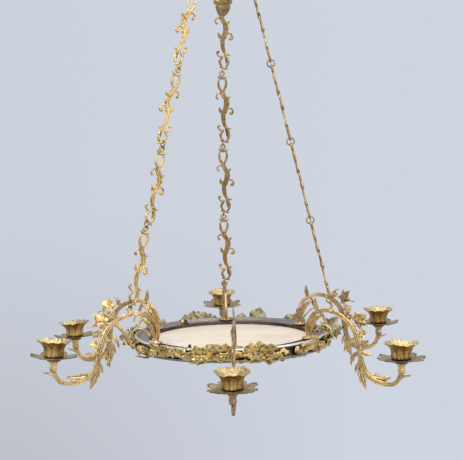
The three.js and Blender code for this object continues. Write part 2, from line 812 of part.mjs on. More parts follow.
// Vine garland: waving stem round the wall, vine leaves up, down and outward, and a screwed lug
function garland(pieceIndex) {
  const middle = garlandFirstAngle + pieceIndex * (360 / garlandPieces);
  const stemSag = Math.cos(rad(garlandSpan / garlandStemSteps / 2));
  const stemRing = (rimOuterRadius + seatGap + garlandStemRadius) / stemSag;
  const stemAt = (share) => {
    const angle = rad(middle + (share - 0.5) * garlandSpan);
    const height = -garlandDrop + garlandWave * Math.sin(share * full * 3);
    return point(Math.cos(angle) * stemRing, Math.sin(angle) * stemRing, height);
  };
  const route = [];
  const routePoints = 24;
  for (let i = 0; i <= routePoints; i += 1) {
    route.push(stemAt(i / routePoints));
  }
  const stem = wireAlong(route, garlandStemRadius, garlandStemSteps);
  const pieces = [stem];
  for (let i = 0; i < garlandLeaves; i += 1) {
    const share = (i + 0.5) / garlandLeaves;
    const angle = rad(middle + (share - 0.5) * garlandSpan);
    const base = stemAt(share);
    const upward = i % 2 === 0;
    const size = upward ? garlandLeafSize : garlandLeafSize * 0.8;
    const tilt = rad(upward ? 22 + 14 * (i % 3) : 150 - 12 * (i % 3));
    const outline = vineLeaf(flat(0, -1), 90 + 14 * Math.sin(i * 2.1), size, garlandLeafRound);
    const blade = slab(outline, garlandLeafThickness);
    blade.scale(garlandLeafSpread, 1, 1);
    blade.applyMatrix4(new THREE.Matrix4().makeBasis(point(0, 1, 0), point(0, 0, 1), point(1, 0, 0)));
    blade.rotateY(tilt);
    blade.rotateZ(angle);
    blade.translate(base.x, base.y, base.z);
    pieces.push(blade);
  }
  // Lug over the rim to its stud on the flange
  const lift = seatGap + lugThickness / 2;
  const lugSpine = [
    flat(armFootRadius - studRadius * 0.7, lift),
    flat(flangeOuter - lift, lift),
    flat(rimShoulder[0] - lift * 0.7, rimShoulder[1] + lift),
    flat(rimCrest[0] + lift * 0.5, rimCrest[1] + lift * 1.2),
    flat(rimOuterRadius + lift * 1.3, lift),
    flat(stemRing, -garlandDrop * 0.6),
    flat(stemRing, -garlandDrop),
  ];
  const strip = (points) => {
    const left = [];
    const right = [];
    points.forEach((spot, i) => {
      const before = points[Math.max(i - 1, 0)];
      const after = points[Math.min(i + 1, points.length - 1)];
      const along = after.clone().sub(before).normalize();
      left.push(flat(spot.x - along.y * lugThickness / 2, spot.y + along.x * lugThickness / 2));
      right.unshift(flat(spot.x + along.y * lugThickness / 2, spot.y - along.x * lugThickness / 2));
    });
    return new THREE.Shape([...left, ...right]);
  };
  const lug = slab(strip(lugSpine), lugWidth);
  lug.rotateX(Math.PI / 2);
  const studTop = seatGap + studHeight;
  const stud = revolved(
    [
      [0, seatGap],
      [studRadius, seatGap],
      [studRadius, seatGap + studHeight * 0.25],
      [knobRadius * 0.6, seatGap + studHeight * 0.4],
      [knobRadius, studTop - studHeight * 0.25],
      [knobRadius * 0.5, studTop],
      [0, studTop],
    ],
    shankSides
  );
  stud.translate(armFootRadius, 0, 0);
  for (const geometry of [lug, stud]) {
    geometry.rotateZ(rad(middle));
    pieces.push(geometry);
  }
  return joined(pieces).translate([0, 0, flangeTop]);
}

// Crown places, down from the hanging point
const hangRingCentre = -(hangRingRadius - hangRingWire);
const hangRingBottom = hangRingCentre - hangRingRadius;
const rodEyeCentre = hangRingBottom + hangRingWire + rodEyeWire + seatGap - rodEyeRadius;
const rodEyeBottom = rodEyeCentre - rodEyeRadius;
const crownTop = rodEyeBottom - rodNeckLength;
const crownBottom = crownTop - crownHubHeight;
const acornTop = crownBottom - seatGap;

function hangingRing() {
  const geometry = torus(hangRingRadius, hangRingWire, hangRingSides, ringWireSides);
  geometry.rotateX(Math.PI / 2);
  geometry.translate(0, 0, hangRingCentre);
  return solidOf(geometry);
}

function eyeRod() {
  const eye = torus(rodEyeRadius, rodEyeWire, rodEyeSides, ringWireSides);
  eye.rotateY(Math.PI / 2);
  eye.translate(0, 0, rodEyeCentre);
  const rodBottom = acornTop - acornLength * 0.35;
  const rod = disc(rodRadius, rodEyeBottom - rodBottom, shankSides);
  rod.translate(0, 0, (rodEyeBottom + rodBottom) / 2);
  return joined([eye, rod]);
}

function crownNut() {
  const hexagon = disc(crownNutRadius, crownNutThickness, 6);
  const bore = disc(rodRadius + shankGap, crownNutThickness * 2, shankSides);
  const nut = solidOf(hexagon).subtract(solidOf(bore));
  return nut.translate([0, 0, crownTop + seatGap + crownNutThickness / 2]);
}

// Acorn that closes the rod below the crown
function crownAcorn() {
  const body = revolved(
    [
      [0, -acornLength],
      [acornRadius * 0.22, -acornLength * 0.93],
      [acornRadius * 0.75, -acornLength * 0.7],
      [acornRadius, -acornLength * 0.4],
      [acornRadius * 0.96, -acornLength * 0.14],
      [acornRimRadius, -acornLength * 0.06],
      [acornRimRadius, 0],
      [0, 0],
    ],
    12
  );
  const bore = disc(rodRadius + shankGap, acornLength * 0.76, shankSides);
  return solidOf(body).subtract(solidOf(bore)).translate([0, 0, acornTop]);
}

// Crown: hub on the rod and three scroll brackets, each ending in an open hook for its chain
function crown() {
  const hub = revolved(
    [
      [0, crownBottom],
      [acornRimRadius * 0.95, crownBottom],
      [acornRimRadius, crownBottom + 2],
      [crownHubRadius * 0.8, crownBottom + crownHubHeight * 0.45],
      [crownHubRadius, crownTop - 2.5],
      [crownHubRadius * 0.85, crownTop],
      [0, crownTop],
    ],
    roundSides
  );
  const pieces = [hub];
  armSettings.forEach(({ chain }, index) => {
    if (!chain || index >= armCount) {
      return;
    }
    const line = chainLine(index);
    const hookTop = hookHeight + ringRadius;
    const bracket = slab(
      ribbon(
        [
          flat(crownHubRadius * 0.4, crownBottom + crownHubHeight * 0.4),
          flat(crownHookRadius * 0.42, crownBottom + crownHubHeight * 0.52),
          flat(crownHookRadius * 0.7, hookTop + crownBracketRise * 0.9),
          flat(crownHookRadius * 0.9, hookTop + crownBracketRise),
          flat(crownHookRadius, hookTop - ringWire),
        ],
        crownBracketWidths,
        6
      ),
      crownArmThickness
    );
    bracket.rotateX(Math.PI / 2);
    const scroll = slab(
      ribbon(
        curlPoints(flat(crownHookRadius * 0.3, crownBottom + crownHubHeight / 2), crownScroll.heading,
          crownScroll.length, crownScroll.turn, 6),
        crownScroll.widths,
        5
      ),
      crownArmThickness * 0.7
    );
    scroll.rotateX(Math.PI / 2);
    for (const geometry of [bracket, scroll]) {
      geometry.rotateZ(rad(armAngle(index)));
      pieces.push(geometry);
    }
    // Open hook: an arc of ring wire from the bracket's end round under the link's eye
    const bow = [];
    const bowSteps = 8;
    for (let i = 0; i <= bowSteps; i += 1) {
      const angle = rad(90 - 290 * (i / bowSteps));
      bow.push(point(0, Math.sin(angle) * ringRadius, Math.cos(angle) * ringRadius));
    }
    const hook = wireAlong(bow, ringWire, bowSteps - 1);
    hook.applyMatrix4(chainFrame(line, 0, false));
    pieces.push(hook);
  });
  // Bore wide enough between its flats for the rod's corners to turn in it
  const boreRadius = (rodRadius + swivelGap) / Math.cos(Math.PI / roundSides);
  const bore = disc(boreRadius, crownHubHeight * 3, roundSides);
  bore.translate(0, 0, crownBottom);
  return joined(pieces).subtract(solidOf(bore));
}

// The whole lamp
const lamp = new THREE.Group();

function place(name, solid, material, parent = lamp) {
  const mesh = new THREE.Mesh(geometryOf(solid), material);
  mesh.name = name;
  parent.add(mesh);
  return mesh;
}

place('hanging_ring', hangingRing(), bronze);
place('eye_rod', eyeRod(), bronze);
place('crown_nut', crownNut(), bronze);
place('crown', crown(), gilt);
place('crown_acorn', crownAcorn(), bronze);
place('ring_frame', ringFrame(), pewter);
place('plate_seat', plateSeat(), darkIron);
place('centre_plate', centrePlate(), milkGlass);

const garlandPlaces = ['right', 'back_left', 'front_left'];
for (let i = 0; i < garlandPieces; i += 1) {
  place(`garland_${garlandPlaces[i]}`, garland(i), greenGilt);
}

const panSolid = dripPan();
const nozzleSolid = candleNozzle();
const armNutSolid = armNut();
const ringSolid = connectingRing();
const linkSolid = castLink();

for (let i = 0; i < armCount; i += 1) {
  const { place: spot, chain } = armSettings[i];
  const lean = armLean(i);
  const holder = new THREE.Group();
  holder.applyMatrix4(armFrame(i));
  lamp.add(holder);
  place(`arm_${spot}`, armSolid(i), gilt, holder);
  place(`arm_nut_${spot}`, armNutSolid, bronze, holder);
  const socket = new THREE.Group();
  socket.position.set(armReach, 0, -socketDepth).applyAxisAngle(point(0, 1, 0), -lean);
  socket.rotation.y = -lean;
  holder.add(socket);
  place(`drip_pan_${spot}`, panSolid, panBrass, socket).position.z = seatGap;
  place(`candle_nozzle_${spot}`, nozzleSolid, bronze, socket).position.z = 2 * seatGap + panThickness;
  if (chain) {
    const line = chainLine(i);
    for (let k = 0; k < linksPerChain; k += 1) {
      const link = place(`chain_${chain}_link_${k + 1}`, linkSolid, gilt);
      link.applyMatrix4(chainFrame(line, k * linkPitch, false));
      const ring = place(`chain_${chain}_ring_${k + 1}`, ringSolid, bronze);
      ring.applyMatrix4(chainFrame(line, (k + 1) * linkPitch, false));
    }
  }
}

export default lamp;
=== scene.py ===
"""Looks of a hanging candle lamp: an old gilt ring frame with scroll arms, on chains of cast links.

Every piece is built in the lamp's own frame, where the origin is the point that hangs on the ceiling
hook and the front faces -Y. Sizes are millimetres until a mesh is made, and metres from then on.
"""
import math
import random

import bpy
import numpy as np
from mathutils import Matrix, Vector


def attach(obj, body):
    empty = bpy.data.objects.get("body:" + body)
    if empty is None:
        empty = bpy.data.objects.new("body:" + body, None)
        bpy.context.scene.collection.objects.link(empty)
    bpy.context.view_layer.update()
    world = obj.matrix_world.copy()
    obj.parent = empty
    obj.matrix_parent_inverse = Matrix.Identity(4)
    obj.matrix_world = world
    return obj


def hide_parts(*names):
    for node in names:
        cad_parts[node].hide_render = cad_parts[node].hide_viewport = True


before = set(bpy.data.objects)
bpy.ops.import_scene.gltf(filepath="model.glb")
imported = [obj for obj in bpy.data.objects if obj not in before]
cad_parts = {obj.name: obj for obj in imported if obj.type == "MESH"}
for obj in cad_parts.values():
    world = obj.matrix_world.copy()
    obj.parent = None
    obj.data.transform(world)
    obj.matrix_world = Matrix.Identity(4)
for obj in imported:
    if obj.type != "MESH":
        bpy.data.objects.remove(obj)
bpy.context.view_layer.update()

MM = 0.001
TURN = 2 * math.pi

# Heights below the hanging point, and the ring frame
HANG_DROP = 545.0
FLANGE_INNER = 113.0
FLANGE_WIDTH = 16.0
FLANGE_THICKNESS = 2.0
FLANGE_DISH = 1.7
FLANGE_DISH_WIDTH = 3.0
RIM_ROLL = 3.5
WALL_HEIGHT = 13.0
WALL_THICKNESS = 2.0
FOOT_ROLL = 1.9
FLANGE_OUTER = FLANGE_INNER + FLANGE_WIDTH
RIM_OUTER = FLANGE_OUTER + 2 * RIM_ROLL
WALL_OUTER = RIM_OUTER - RIM_ROLL / 2
RIM_CENTRE = (FLANGE_OUTER + RIM_ROLL, 0.0)
RING_SIDES = 160

# Plate and its seat
SEAT_GAP = 0.3
SEAT_WALL = 0.8
SEAT_LEDGE = 6.0
SEAT_DEPTH = 7.8
PLATE_THICKNESS = 2.6
PLATE_GAP = 0.4

# Arms
FIRST_ARM_ANGLE = 92.7
ARM_STEP = 60.0
ARM_FOOT_RADIUS = FLANGE_INNER + FLANGE_WIDTH / 2
ARM_REACH = 146.0
ARCH_HEIGHT = 42.0
ARCH_REACH = 36.0
STEM_REACH = 80.0
DIP_REACH = 121.0
DIP_DEPTH = 47.0
SOCKET_DEPTH = 12.4
CALYX_RADIUS = 9.3
CALYX_HEIGHT = 18.0
STUB_RADIUS = 2.6
STUB_LENGTH = 5.5
ARMS = (
    {"place": "back", "pan_turn": 22.5, "rise": 15.0, "turn": 0.0, "chain": "back"},
    {"place": "back_left", "pan_turn": 23.0, "rise": -7.5, "turn": 0.0, "chain": None},
    {"place": "front_left", "pan_turn": 1.0, "rise": 10.3, "turn": -3.0, "chain": "left"},
    {"place": "front", "pan_turn": 24.0, "rise": -8.5, "turn": -4.5, "chain": None},
    {"place": "front_right", "pan_turn": 2.0, "rise": -0.3, "turn": -13.0, "chain": "right"},
    {"place": "back_right", "pan_turn": 25.0, "rise": 0.0, "turn": -2.5, "chain": None},
)

# Pans and nozzles
PAN_RADIUS = 30.0
PAN_THICKNESS = 1.0
NOZZLE_FLOOR = 6.5
CANDLE_BORE = 11.0

# Chains
LINKS_PER_CHAIN = 4
LINK_THICKNESS = 3.2
LINK_EYE_RADIUS = 4.4
LINK_EYE_HOLE = 2.4
LINK_STRAND = 2.6
RING_RADIUS = 5.1
RING_WIRE = 0.9
RING_SEAT_GAP = 0.45
CROWN_HOOK_RADIUS = 44.5
CROWN_HOOK_DROP = 63.0
ARM_EYE_LIFT = 16.0
ARM_EYE_RADIUS = 5.0
ARM_EYE_THICKNESS = 3.0
# Direction that the links of each chain face, in degrees round the lamp's axis
CHAIN_FACING = {"back": 0.0, "left": 213.0, "right": 272.0}

# Camera, as the photograph was taken
PHOTO_WIDTH = 463
CAMERA_PLACE = Vector((0.0, -1.5894, -0.271))
CAMERA_PITCH = 4.54
CAMERA_ROLL = -1.3
CAMERA_FOCAL = 1135.3
CAMERA_SIDE_SHIFT = 3.53
SENSOR_WIDTH = 36.0


def new_object(name, data):
    obj = bpy.data.objects.new(name, data)
    bpy.context.scene.collection.objects.link(obj)
    return obj


# Curves and paths

def unit(vectors):
    return vectors / np.maximum(np.linalg.norm(vectors, axis=-1, keepdims=True), 1e-9)


def smooth_path(points, count):
    """Points evenly spaced along a smooth curve through the given ones."""
    per_span = 16
    knots = np.array(points, float)
    ends = np.vstack([2 * knots[0] - knots[1], knots, 2 * knots[-1] - knots[-2]])
    dense = []
    for a, b, c, d in zip(ends, ends[1:], ends[2:], ends[3:]):
        for t in np.linspace(0, 1, per_span, endpoint=False):
            bend = (2 * a - 5 * b + 4 * c - d) * t * t + (3 * b - a - 3 * c + d) * t**3
            dense.append(0.5 * (2 * b + (c - a) * t + bend))
    dense = np.array(dense + [knots[-1]])
    gone = np.concatenate([[0], np.cumsum(np.linalg.norm(np.diff(dense, axis=0), axis=1))])
    even = np.linspace(0, gone[-1], count)
    return np.column_stack([np.interp(even, gone, column) for column in dense.T])


def spread(values, count):
    """A short list of sizes, spread evenly over count places."""
    values = np.atleast_1d(np.array(values, float))
    return np.interp(np.linspace(0, 1, count), np.linspace(0, 1, len(values)), values)


def curl_path(start, heading, length, turn):
    """Flat path whose bend grows along its length."""
    count = 14
    growth = 1.6
    shares = (np.arange(count) + 0.5) / count
    angles = np.radians(heading + turn * shares**growth)
    steps = np.column_stack([np.cos(angles), np.sin(angles)]) * length / count
    return np.vstack([start, np.array(start) + np.cumsum(steps, axis=0)])


def turned(degrees, axis="Z"):
    return Matrix.Rotation(math.radians(degrees), 4, axis)


def moved(x, y, z):
    return Matrix.Translation((x, y, z))


def upright(place):
    """The upright plane of a place: its X stays, Y is up and Z goes across."""
    return place @ turned(90, "X")


def full_turn(sides):
    """Angles of a full turn, in radians."""
    return np.linspace(0, TURN, sides, endpoint=False)


def circle(radius, turns, height):
    """Points round Z at these angles."""
    x, y = radius * np.cos(turns), radius * np.sin(turns)
    return np.column_stack([x, y, np.broadcast_to(height, x.shape)])


def round_axis(degrees, radius, height=0.0):
    """Point at an angle round the lamp's axis."""
    angle = math.radians(degrees)
    return Vector((math.cos(angle) * radius, math.sin(angle) * radius, height))


def turn_from(heading, degrees):
    """Turn from a heading to a direction, from -180 to 180 degrees."""
    return (degrees - heading + 180) % 360 - 180


def between(a, b, share):
    return a + (b - a) * share


# Meshes made of rings of points

class Casting:
    """One piece, gathered form by form in millimetres. Each form is a run of rings, closed at its ends."""

    def __init__(self):
        self.points = []
        self.faces = []
        self.tints = []
        self.count = 0

    def loft(self, rings, place=None, looped=False, tint=0):
        """Add a form. Tint picks the material, for the whole form or as rows by columns."""
        rings = np.asarray(rings, float)
        rows, columns = rings.shape[:2]
        points = rings.reshape(-1, 3)
        if not looped:
            points = np.vstack([points, rings[0].mean(0), rings[-1].mean(0)])
        if place is not None:
            matrix = np.array(place)
            points = points @ matrix[:3, :3].T + matrix[:3, 3]
        runs = rows if looped else rows - 1
        i, j = np.meshgrid(np.arange(runs), np.arange(columns), indexing="ij")

        def corner(row, column):
            return self.count + (row % rows) * columns + column % columns

        quads = np.stack([corner(i, j), corner(i, j + 1), corner(i + 1, j + 1), corner(i + 1, j)], -1)
        self.faces += quads.reshape(-1, 4).tolist()
        self.tints += np.broadcast_to(tint, (runs, columns)).ravel().tolist()
        if not looped:
            first = self.count + rows * columns
            for j in range(columns):
                self.faces.append([first, corner(0, j + 1), corner(0, j)])
                self.faces.append([first + 1, corner(rows - 1, j), corner(rows - 1, j + 1)])
            self.tints += [int(np.ravel(tint)[0]), int(np.ravel(tint)[-1])] * columns
        self.points.append(points)
        self.count += len(points)

    def piece(self, name, materials, body, slot, *nodes):
        """Make the mesh object, riding on its body in place of its CAD nodes."""
        mesh = bpy.data.meshes.new(name)
        mesh.from_pydata((np.vstack(self.points) * MM).tolist(), [], self.faces)
        mesh.polygons.foreach_set("use_smooth", [True] * len(mesh.polygons))
        for material in materials:
            mesh.materials.append(material)
        mesh.polygons.foreach_set("material_index", self.tints)
        mesh.update()
        obj = new_object(name, mesh)
        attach(obj, body)
        if nodes:
            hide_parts(*nodes)


# Sections, as points of (across, deep) within one unit

def round_section(sides=12):
    angles = full_turn(sides)
    return np.column_stack([np.cos(angles), np.sin(angles)])


GROOVE_PLACE = 0.36


def ridged_section():
    """Flat band with three ridges and two grooves along both faces."""
    sides = 32
    groove = 0.5
    angles = full_turn(sides)
    across = np.sign(np.cos(angles)) * np.abs(np.cos(angles)) ** 0.8
    deep = np.sign(np.sin(angles)) * np.abs(np.sin(angles)) ** 0.6
    hollow = np.exp(-(((np.abs(across) - GROOVE_PLACE) / 0.15) ** 2))
    return np.column_stack([across, deep * (1 - groove * hollow)])


def groove_tints(section):
    """Tint for each face round a ridged section: 1, for painted shade, in its grooves and 0 elsewhere."""
    middle = (np.abs(section[:, 0]) + np.abs(np.roll(section[:, 0], -1))) / 2
    return (np.abs(middle - GROOVE_PLACE) < 0.13) * 1


ROUND = round_section()
THIN_ROUND = round_section(8)
RIDGED = ridged_section()
RIDGED_TINTS = groove_tints(RIDGED)


def sweep(path, half_width, half_depth, section, side):
    """Rings of a section carried along a path. Side is the direction of the section's depth."""
    path = np.asarray(path, float)
    count = len(path)
    along = unit(np.gradient(path, axis=0))
    across = unit(np.cross(np.broadcast_to(side, path.shape), along))
    deep = unit(np.cross(along, across))
    wide = spread(half_width, count)[:, None, None] * section[None, :, :1]
    thick = spread(half_depth, count)[:, None, None] * section[None, :, 1:]
    return path[:, None] + across[:, None] * wide + deep[:, None] * thick


def blunt(sizes, count, ends=0.06):
    """Sizes spread over count places and rounded off towards both ends."""
    shares = np.linspace(0, 1, count)
    nearest = np.minimum(np.minimum(shares, 1 - shares) / ends, 1)
    return spread(sizes, count) * np.sqrt(np.maximum(1 - (1 - nearest) ** 2, 0.02))


def flat_path(points):
    """Points (x, y) of a piece's own plane, in three dimensions."""
    points = np.asarray(points, float)
    return np.column_stack([points, np.zeros(len(points))])


def strand(casting, place, points, widths, depths, count, section=ROUND, ends=0.06, tint=0):
    """Cast strand in the plane of place, along a smooth curve through the points."""
    path = flat_path(smooth_path(points, count))
    half_width = blunt(np.array(widths) / 2, count, ends)
    half_depth = blunt(np.array(depths) / 2, count, ends)
    rings = sweep(path, half_width, half_depth, section, (0, 0, 1))
    casting.loft(rings, place, tint=RIDGED_TINTS if section is RIDGED else tint)


def ball(casting, place, centre, radius, squash=1.0, columns=12):
    rows = 8
    pole = 0.12
    tilts = np.linspace(pole, math.pi - pole, rows)
    rings = [circle(np.sin(t), full_turn(columns), np.cos(t)) for t in tilts]
    size = np.array([radius, radius, radius * squash])
    casting.loft(np.array(rings) * size + np.array(centre, float), place)


def torus_rings(radius, wire, sides=36, wire_sides=10):
    """Rings of a wire ring about Z."""
    rounds = full_turn(wire_sides)
    reach = radius + wire * np.cos(rounds)
    return np.array([circle(reach, t, wire * np.sin(rounds)) for t in full_turn(sides)])


def revolved(profile, sides, wave=None):
    """Rings about Z from (radius, height) pairs. Wave gives (radius, height) changes by row and angle."""
    turns = full_turn(sides)
    rings = []
    for row, (radius, height) in enumerate(profile):
        wider, higher = wave(row / (len(profile) - 1), turns, radius) if wave else (0.0, 0.0)
        rings.append(circle(radius + wider, turns, height + higher))
    return np.array(rings)


def lobed(amount, lobes, low, high):
    """Wave of lobes for a revolved form, a share of its radius, between two shares of its profile."""
    def wave(share, turns, radius):
        return amount * radius * np.cos(lobes * turns) * (low < share < high), 0.0

    return wave


# Leaves

def leaf(casting, place, base, tip, width, bow=0.0, curl=0.0, teeth=0, thickness=2.2, rows=34):
    """Long cast leaf in the plane of place, with a midrib, side veins and teeth that point to its tip."""
    columns = 13
    notch = 0.46 if teeth else 0.0
    base, tip = np.array(base, float), np.array(tip, float)
    length = np.linalg.norm(tip - base)
    along = (tip - base) / length
    side = np.array([-along[1], along[0]])
    across = np.linspace(-1, 1, columns)
    edge = np.sqrt(1 - across**2 * 0.96)
    midrib = 0.6 * np.exp(-((across / 0.14) ** 2))
    valley = 0.35 * np.exp(-(((np.abs(across) - GROOVE_PLACE) / 0.14) ** 2))
    rib = midrib - valley
    rings = []
    for u in np.linspace(0, 1, rows):
        belly = math.sin(math.pi * (0.14 + 0.86 * u)) ** 0.8
        tooth = (u * teeth) % 1.0 if teeth else 1.0
        half = max(width / 2 * belly * (1 - notch * (1 - tooth) * (1 - u * 0.4)), 0.12)
        vein = 0.4 * math.cos(TURN * teeth * u) if teeth else 0.0
        centre = base + along * length * u + side * bow * math.sin(math.pi * u)
        body = thickness / 2 * (0.66 * edge + rib + vein * np.abs(across) * edge) * (0.35 + 0.65 * belly)
        lift = curl * u**2 + 0.10 * width * across**2 * belly * np.sign(curl if curl else 1)
        ahead = np.abs(across) * half * 0.35
        x = centre[0] + side[0] * across * half + along[0] * ahead
        y = centre[1] + side[1] * across * half + along[1] * ahead
        front = np.column_stack([x, y, lift + body])
        back = np.column_stack([x, y, lift - body])[::-1]
        rings.append(np.vstack([front, back[1:-1]]))
    # Faces in the valleys beside the midrib take tint 1, painted shade
    shaded_valley_columns = (3, 8, 15, 20)
    tint = np.isin(np.arange(2 * columns - 2), shaded_valley_columns) * 1
    casting.loft(rings, place, tint=tint)


# Lobes of a vine leaf as heading, reach, spread in degrees. The last one is the stalk's end, with no vein.
VINE_LOBES = ((0, 1.1, 36), (56, 0.92, 30), (-56, 0.92, 30), (112, 0.74, 34), (-112, 0.74, 34),
              (180, 0.42, 40))
VINE_THICKNESS = 1.6


def vine_outline(angles, size, ragged, fullness):
    """Radius of a five-lobed vine leaf at each angle from its tip's direction."""
    radius = np.full(len(angles), fullness)
    for heading, reach, breadth in VINE_LOBES:
        away = np.abs(turn_from(heading, np.degrees(angles))) / breadth
        radius = np.maximum(radius, reach * (1 - 0.42 * away**1.1))
    saw = np.abs((np.degrees(angles) / 15.0 + ragged) % 1.0 - 0.5)
    return size * radius * (1 - 0.16 * saw * (1.2 - fullness))


def vine_leaf(casting, place, size, cup, wave, ragged, fullness, tints=(0, 1, 0)):
    """Vine leaf that grows from the origin of place along its X, lying across its Z.

    The tints are those of its face, of the painted shade in the valleys between its veins, and of its back.
    """
    sides = 54
    angles = full_turn(sides)
    outline = vine_outline(angles, size, ragged, fullness)
    shares = np.array([0.1, 0.28, 0.46, 0.64, 0.8, 0.92, 1.0])
    fronts, backs, tint = [], [], []
    for share in shares:
        x = outline * share * np.cos(angles) + size * 0.55
        y = outline * share * np.sin(angles)
        rib = np.zeros(sides)
        for heading, _, _ in VINE_LOBES[:-1]:
            away = np.abs(turn_from(heading, np.degrees(angles)))
            rib = np.maximum(rib, np.exp(-((away * share / 9.0) ** 2)) * (1 - share * 0.5))
        fold = cup * size * share**2 * (0.6 + 0.4 * np.cos(2.5 * angles + ragged * TURN))
        ripple = wave * size * share**3 * np.sin(5 * angles + ragged * TURN)
        height = fold + ripple
        edge = math.sqrt(max(1 - share**2, 0.04))
        fronts.append(np.column_stack([x, y, height + VINE_THICKNESS * (0.3 * edge + 0.55 * rib)]))
        backs.append(np.column_stack([x, y, height - VINE_THICKNESS * (0.3 * edge - 0.3 * rib)]))
        tint.append(np.where((rib < 0.22) & (share < 0.7), tints[1], tints[0]))
    tint += [np.full(sides, tints[2])] * (len(shares) - 1)
    casting.loft(np.array(fronts + backs[::-1]), place, tint=np.array(tint))


# Materials

def fill(tree, node, inputs):
    """Give a node its inputs, each a value or another node's output."""
    for name, value in inputs.items():
        if isinstance(value, bpy.types.NodeSocket):
            tree.links.new(value, node.inputs[name])
        else:
            node.inputs[name].default_value = value


def made(tree, kind, inputs, output):
    """Output of a new shader node with these inputs."""
    node = tree.nodes.new(f"ShaderNode{kind}")
    fill(tree, node, inputs)
    return node.outputs[output]


def noise(tree, place, scale, detail=4.0, roughness=0.6):
    inputs = {"Vector": place, "Scale": scale, "Detail": detail, "Roughness": roughness}
    return made(tree, "TexNoise", inputs, "Fac")


def stretched(tree, value, low, high, to_low=0.0, to_high=1.0):
    inputs = {"Value": value, "From Min": low, "From Max": high, "To Min": to_low, "To Max": to_high}
    return made(tree, "MapRange", inputs, "Result")


def mapped(tree, place, scale, degrees=0.0):
    """Texture place, scaled along each axis and turned about Z."""
    inputs = {"Vector": place, "Scale": scale, "Rotation": (0.0, 0.0, math.radians(degrees))}
    return made(tree, "Mapping", inputs, "Vector")


def mixed(tree, share, first, second):
    """Mix of two colours. Each is a tuple or a node's output."""
    node = tree.nodes.new("ShaderNodeMix")
    node.data_type = "RGBA"
    first, second = ((*c, 1.0) if isinstance(c, tuple) else c for c in (first, second))
    fill(tree, node, {"Factor": share, 6: first, 7: second})
    return node.outputs[2]


def reckoned(tree, operation, first, second):
    node = tree.nodes.new("ShaderNodeMath")
    node.operation = operation
    fill(tree, node, {0: first, 1: second})
    return node.outputs[0]


def bumped(tree, height, distance):
    return made(tree, "Bump", {"Strength": 1.0, "Distance": distance, "Height": height}, "Normal")


def new_material(name):
    material = bpy.data.materials.new(name)
    material.use_nodes = True
    tree = material.node_tree
    place = made(tree, "TexCoord", {}, "Object")
    return material, tree, tree.nodes["Principled BSDF"], place


# Reach of the ambient occlusion that paints shade into crevices
CREVICE = 3.0 * MM


def aged_metal(name, bright, middle, dark, roughness=(0.28, 0.5), grain=0.25 * MM, spots=1.0):
    """Old gilt or bronze casting: bright where it is touched, brown in patches, with painted shade darkening
    its crevices.
    """
    material, tree, shader, place = new_material(name)
    patches = stretched(tree, noise(tree, place, 38.0), 0.38, 0.66)
    flecks = stretched(tree, noise(tree, place, 240.0, 3.0), 0.45, 0.72, 0.0, spots)
    speckled = stretched(tree, noise(tree, place, 60.0), 0.4, 0.6)
    colour = mixed(tree, patches, middle, bright)
    colour = mixed(tree, reckoned(tree, "MULTIPLY", flecks, speckled), colour, dark)
    # Painted shade: ambient occlusion mixes the dark colour into crevices
    occlusion = tree.nodes.new("ShaderNodeAmbientOcclusion")
    occlusion.samples = 6
    fill(tree, occlusion, {"Distance": CREVICE})
    shade = stretched(tree, occlusion.outputs["AO"], 0.3, 0.84)
    colour = mixed(tree, shade, dark, colour)
    worn = stretched(tree, noise(tree, place, 130.0), 0.3, 0.7, *roughness)
    grains = bumped(tree, noise(tree, place, 900.0, 5.0), grain)
    fill(tree, shader, {"Base Color": colour, "Metallic": 1.0, "Roughness": worn, "Normal": grains})
    return material


def plate_stone(name):
    """Cream opal plate with faint peach and blue-grey streaks."""
    material, tree, shader, place = new_material(name)
    streaks = mapped(tree, place, (1.0, 1.9, 1.0), 14)
    brushed = mapped(tree, streaks, (1.0, 4.5, 1.0))
    cream, peach = (0.82, 0.72, 0.59), (0.74, 0.59, 0.46)
    grey, tan = (0.54, 0.53, 0.52), (0.54, 0.44, 0.33)
    clouds = stretched(tree, noise(tree, streaks, 9.0, 5.0, 0.5), 0.45, 0.7)
    stains = stretched(tree, noise(tree, streaks, 17.0, 5.0), 0.58, 0.78, 0.0, 0.6)
    lines = stretched(tree, noise(tree, brushed, 55.0), 0.42, 0.72, 0.0, 0.65)
    colour = mixed(tree, clouds, cream, peach)
    colour = mixed(tree, stains, colour, grey)
    colour = mixed(tree, lines, colour, tan)
    dull = stretched(tree, noise(tree, place, 60.0), 0.3, 0.7, 0.45, 0.65)
    grains = bumped(tree, noise(tree, streaks, 400.0), 0.05 * MM)
    fill(tree, shader, {"Base Color": colour, "Roughness": dull, "Normal": grains})
    return material


GILT = aged_metal("worn_gilt", (0.90, 0.64, 0.28), (0.64, 0.42, 0.16), (0.17, 0.10, 0.03))
LIGHT_GILT = aged_metal("pale_gilt", (0.96, 0.71, 0.35), (0.76, 0.53, 0.23), (0.24, 0.14, 0.05))
ROSE_GILT = aged_metal("rose_gilt", (0.70, 0.47, 0.26), (0.46, 0.29, 0.14), (0.15, 0.09, 0.04))
BROWN_GILT = aged_metal("brown_gilt", (0.70, 0.49, 0.23), (0.46, 0.30, 0.12), (0.14, 0.09, 0.04))
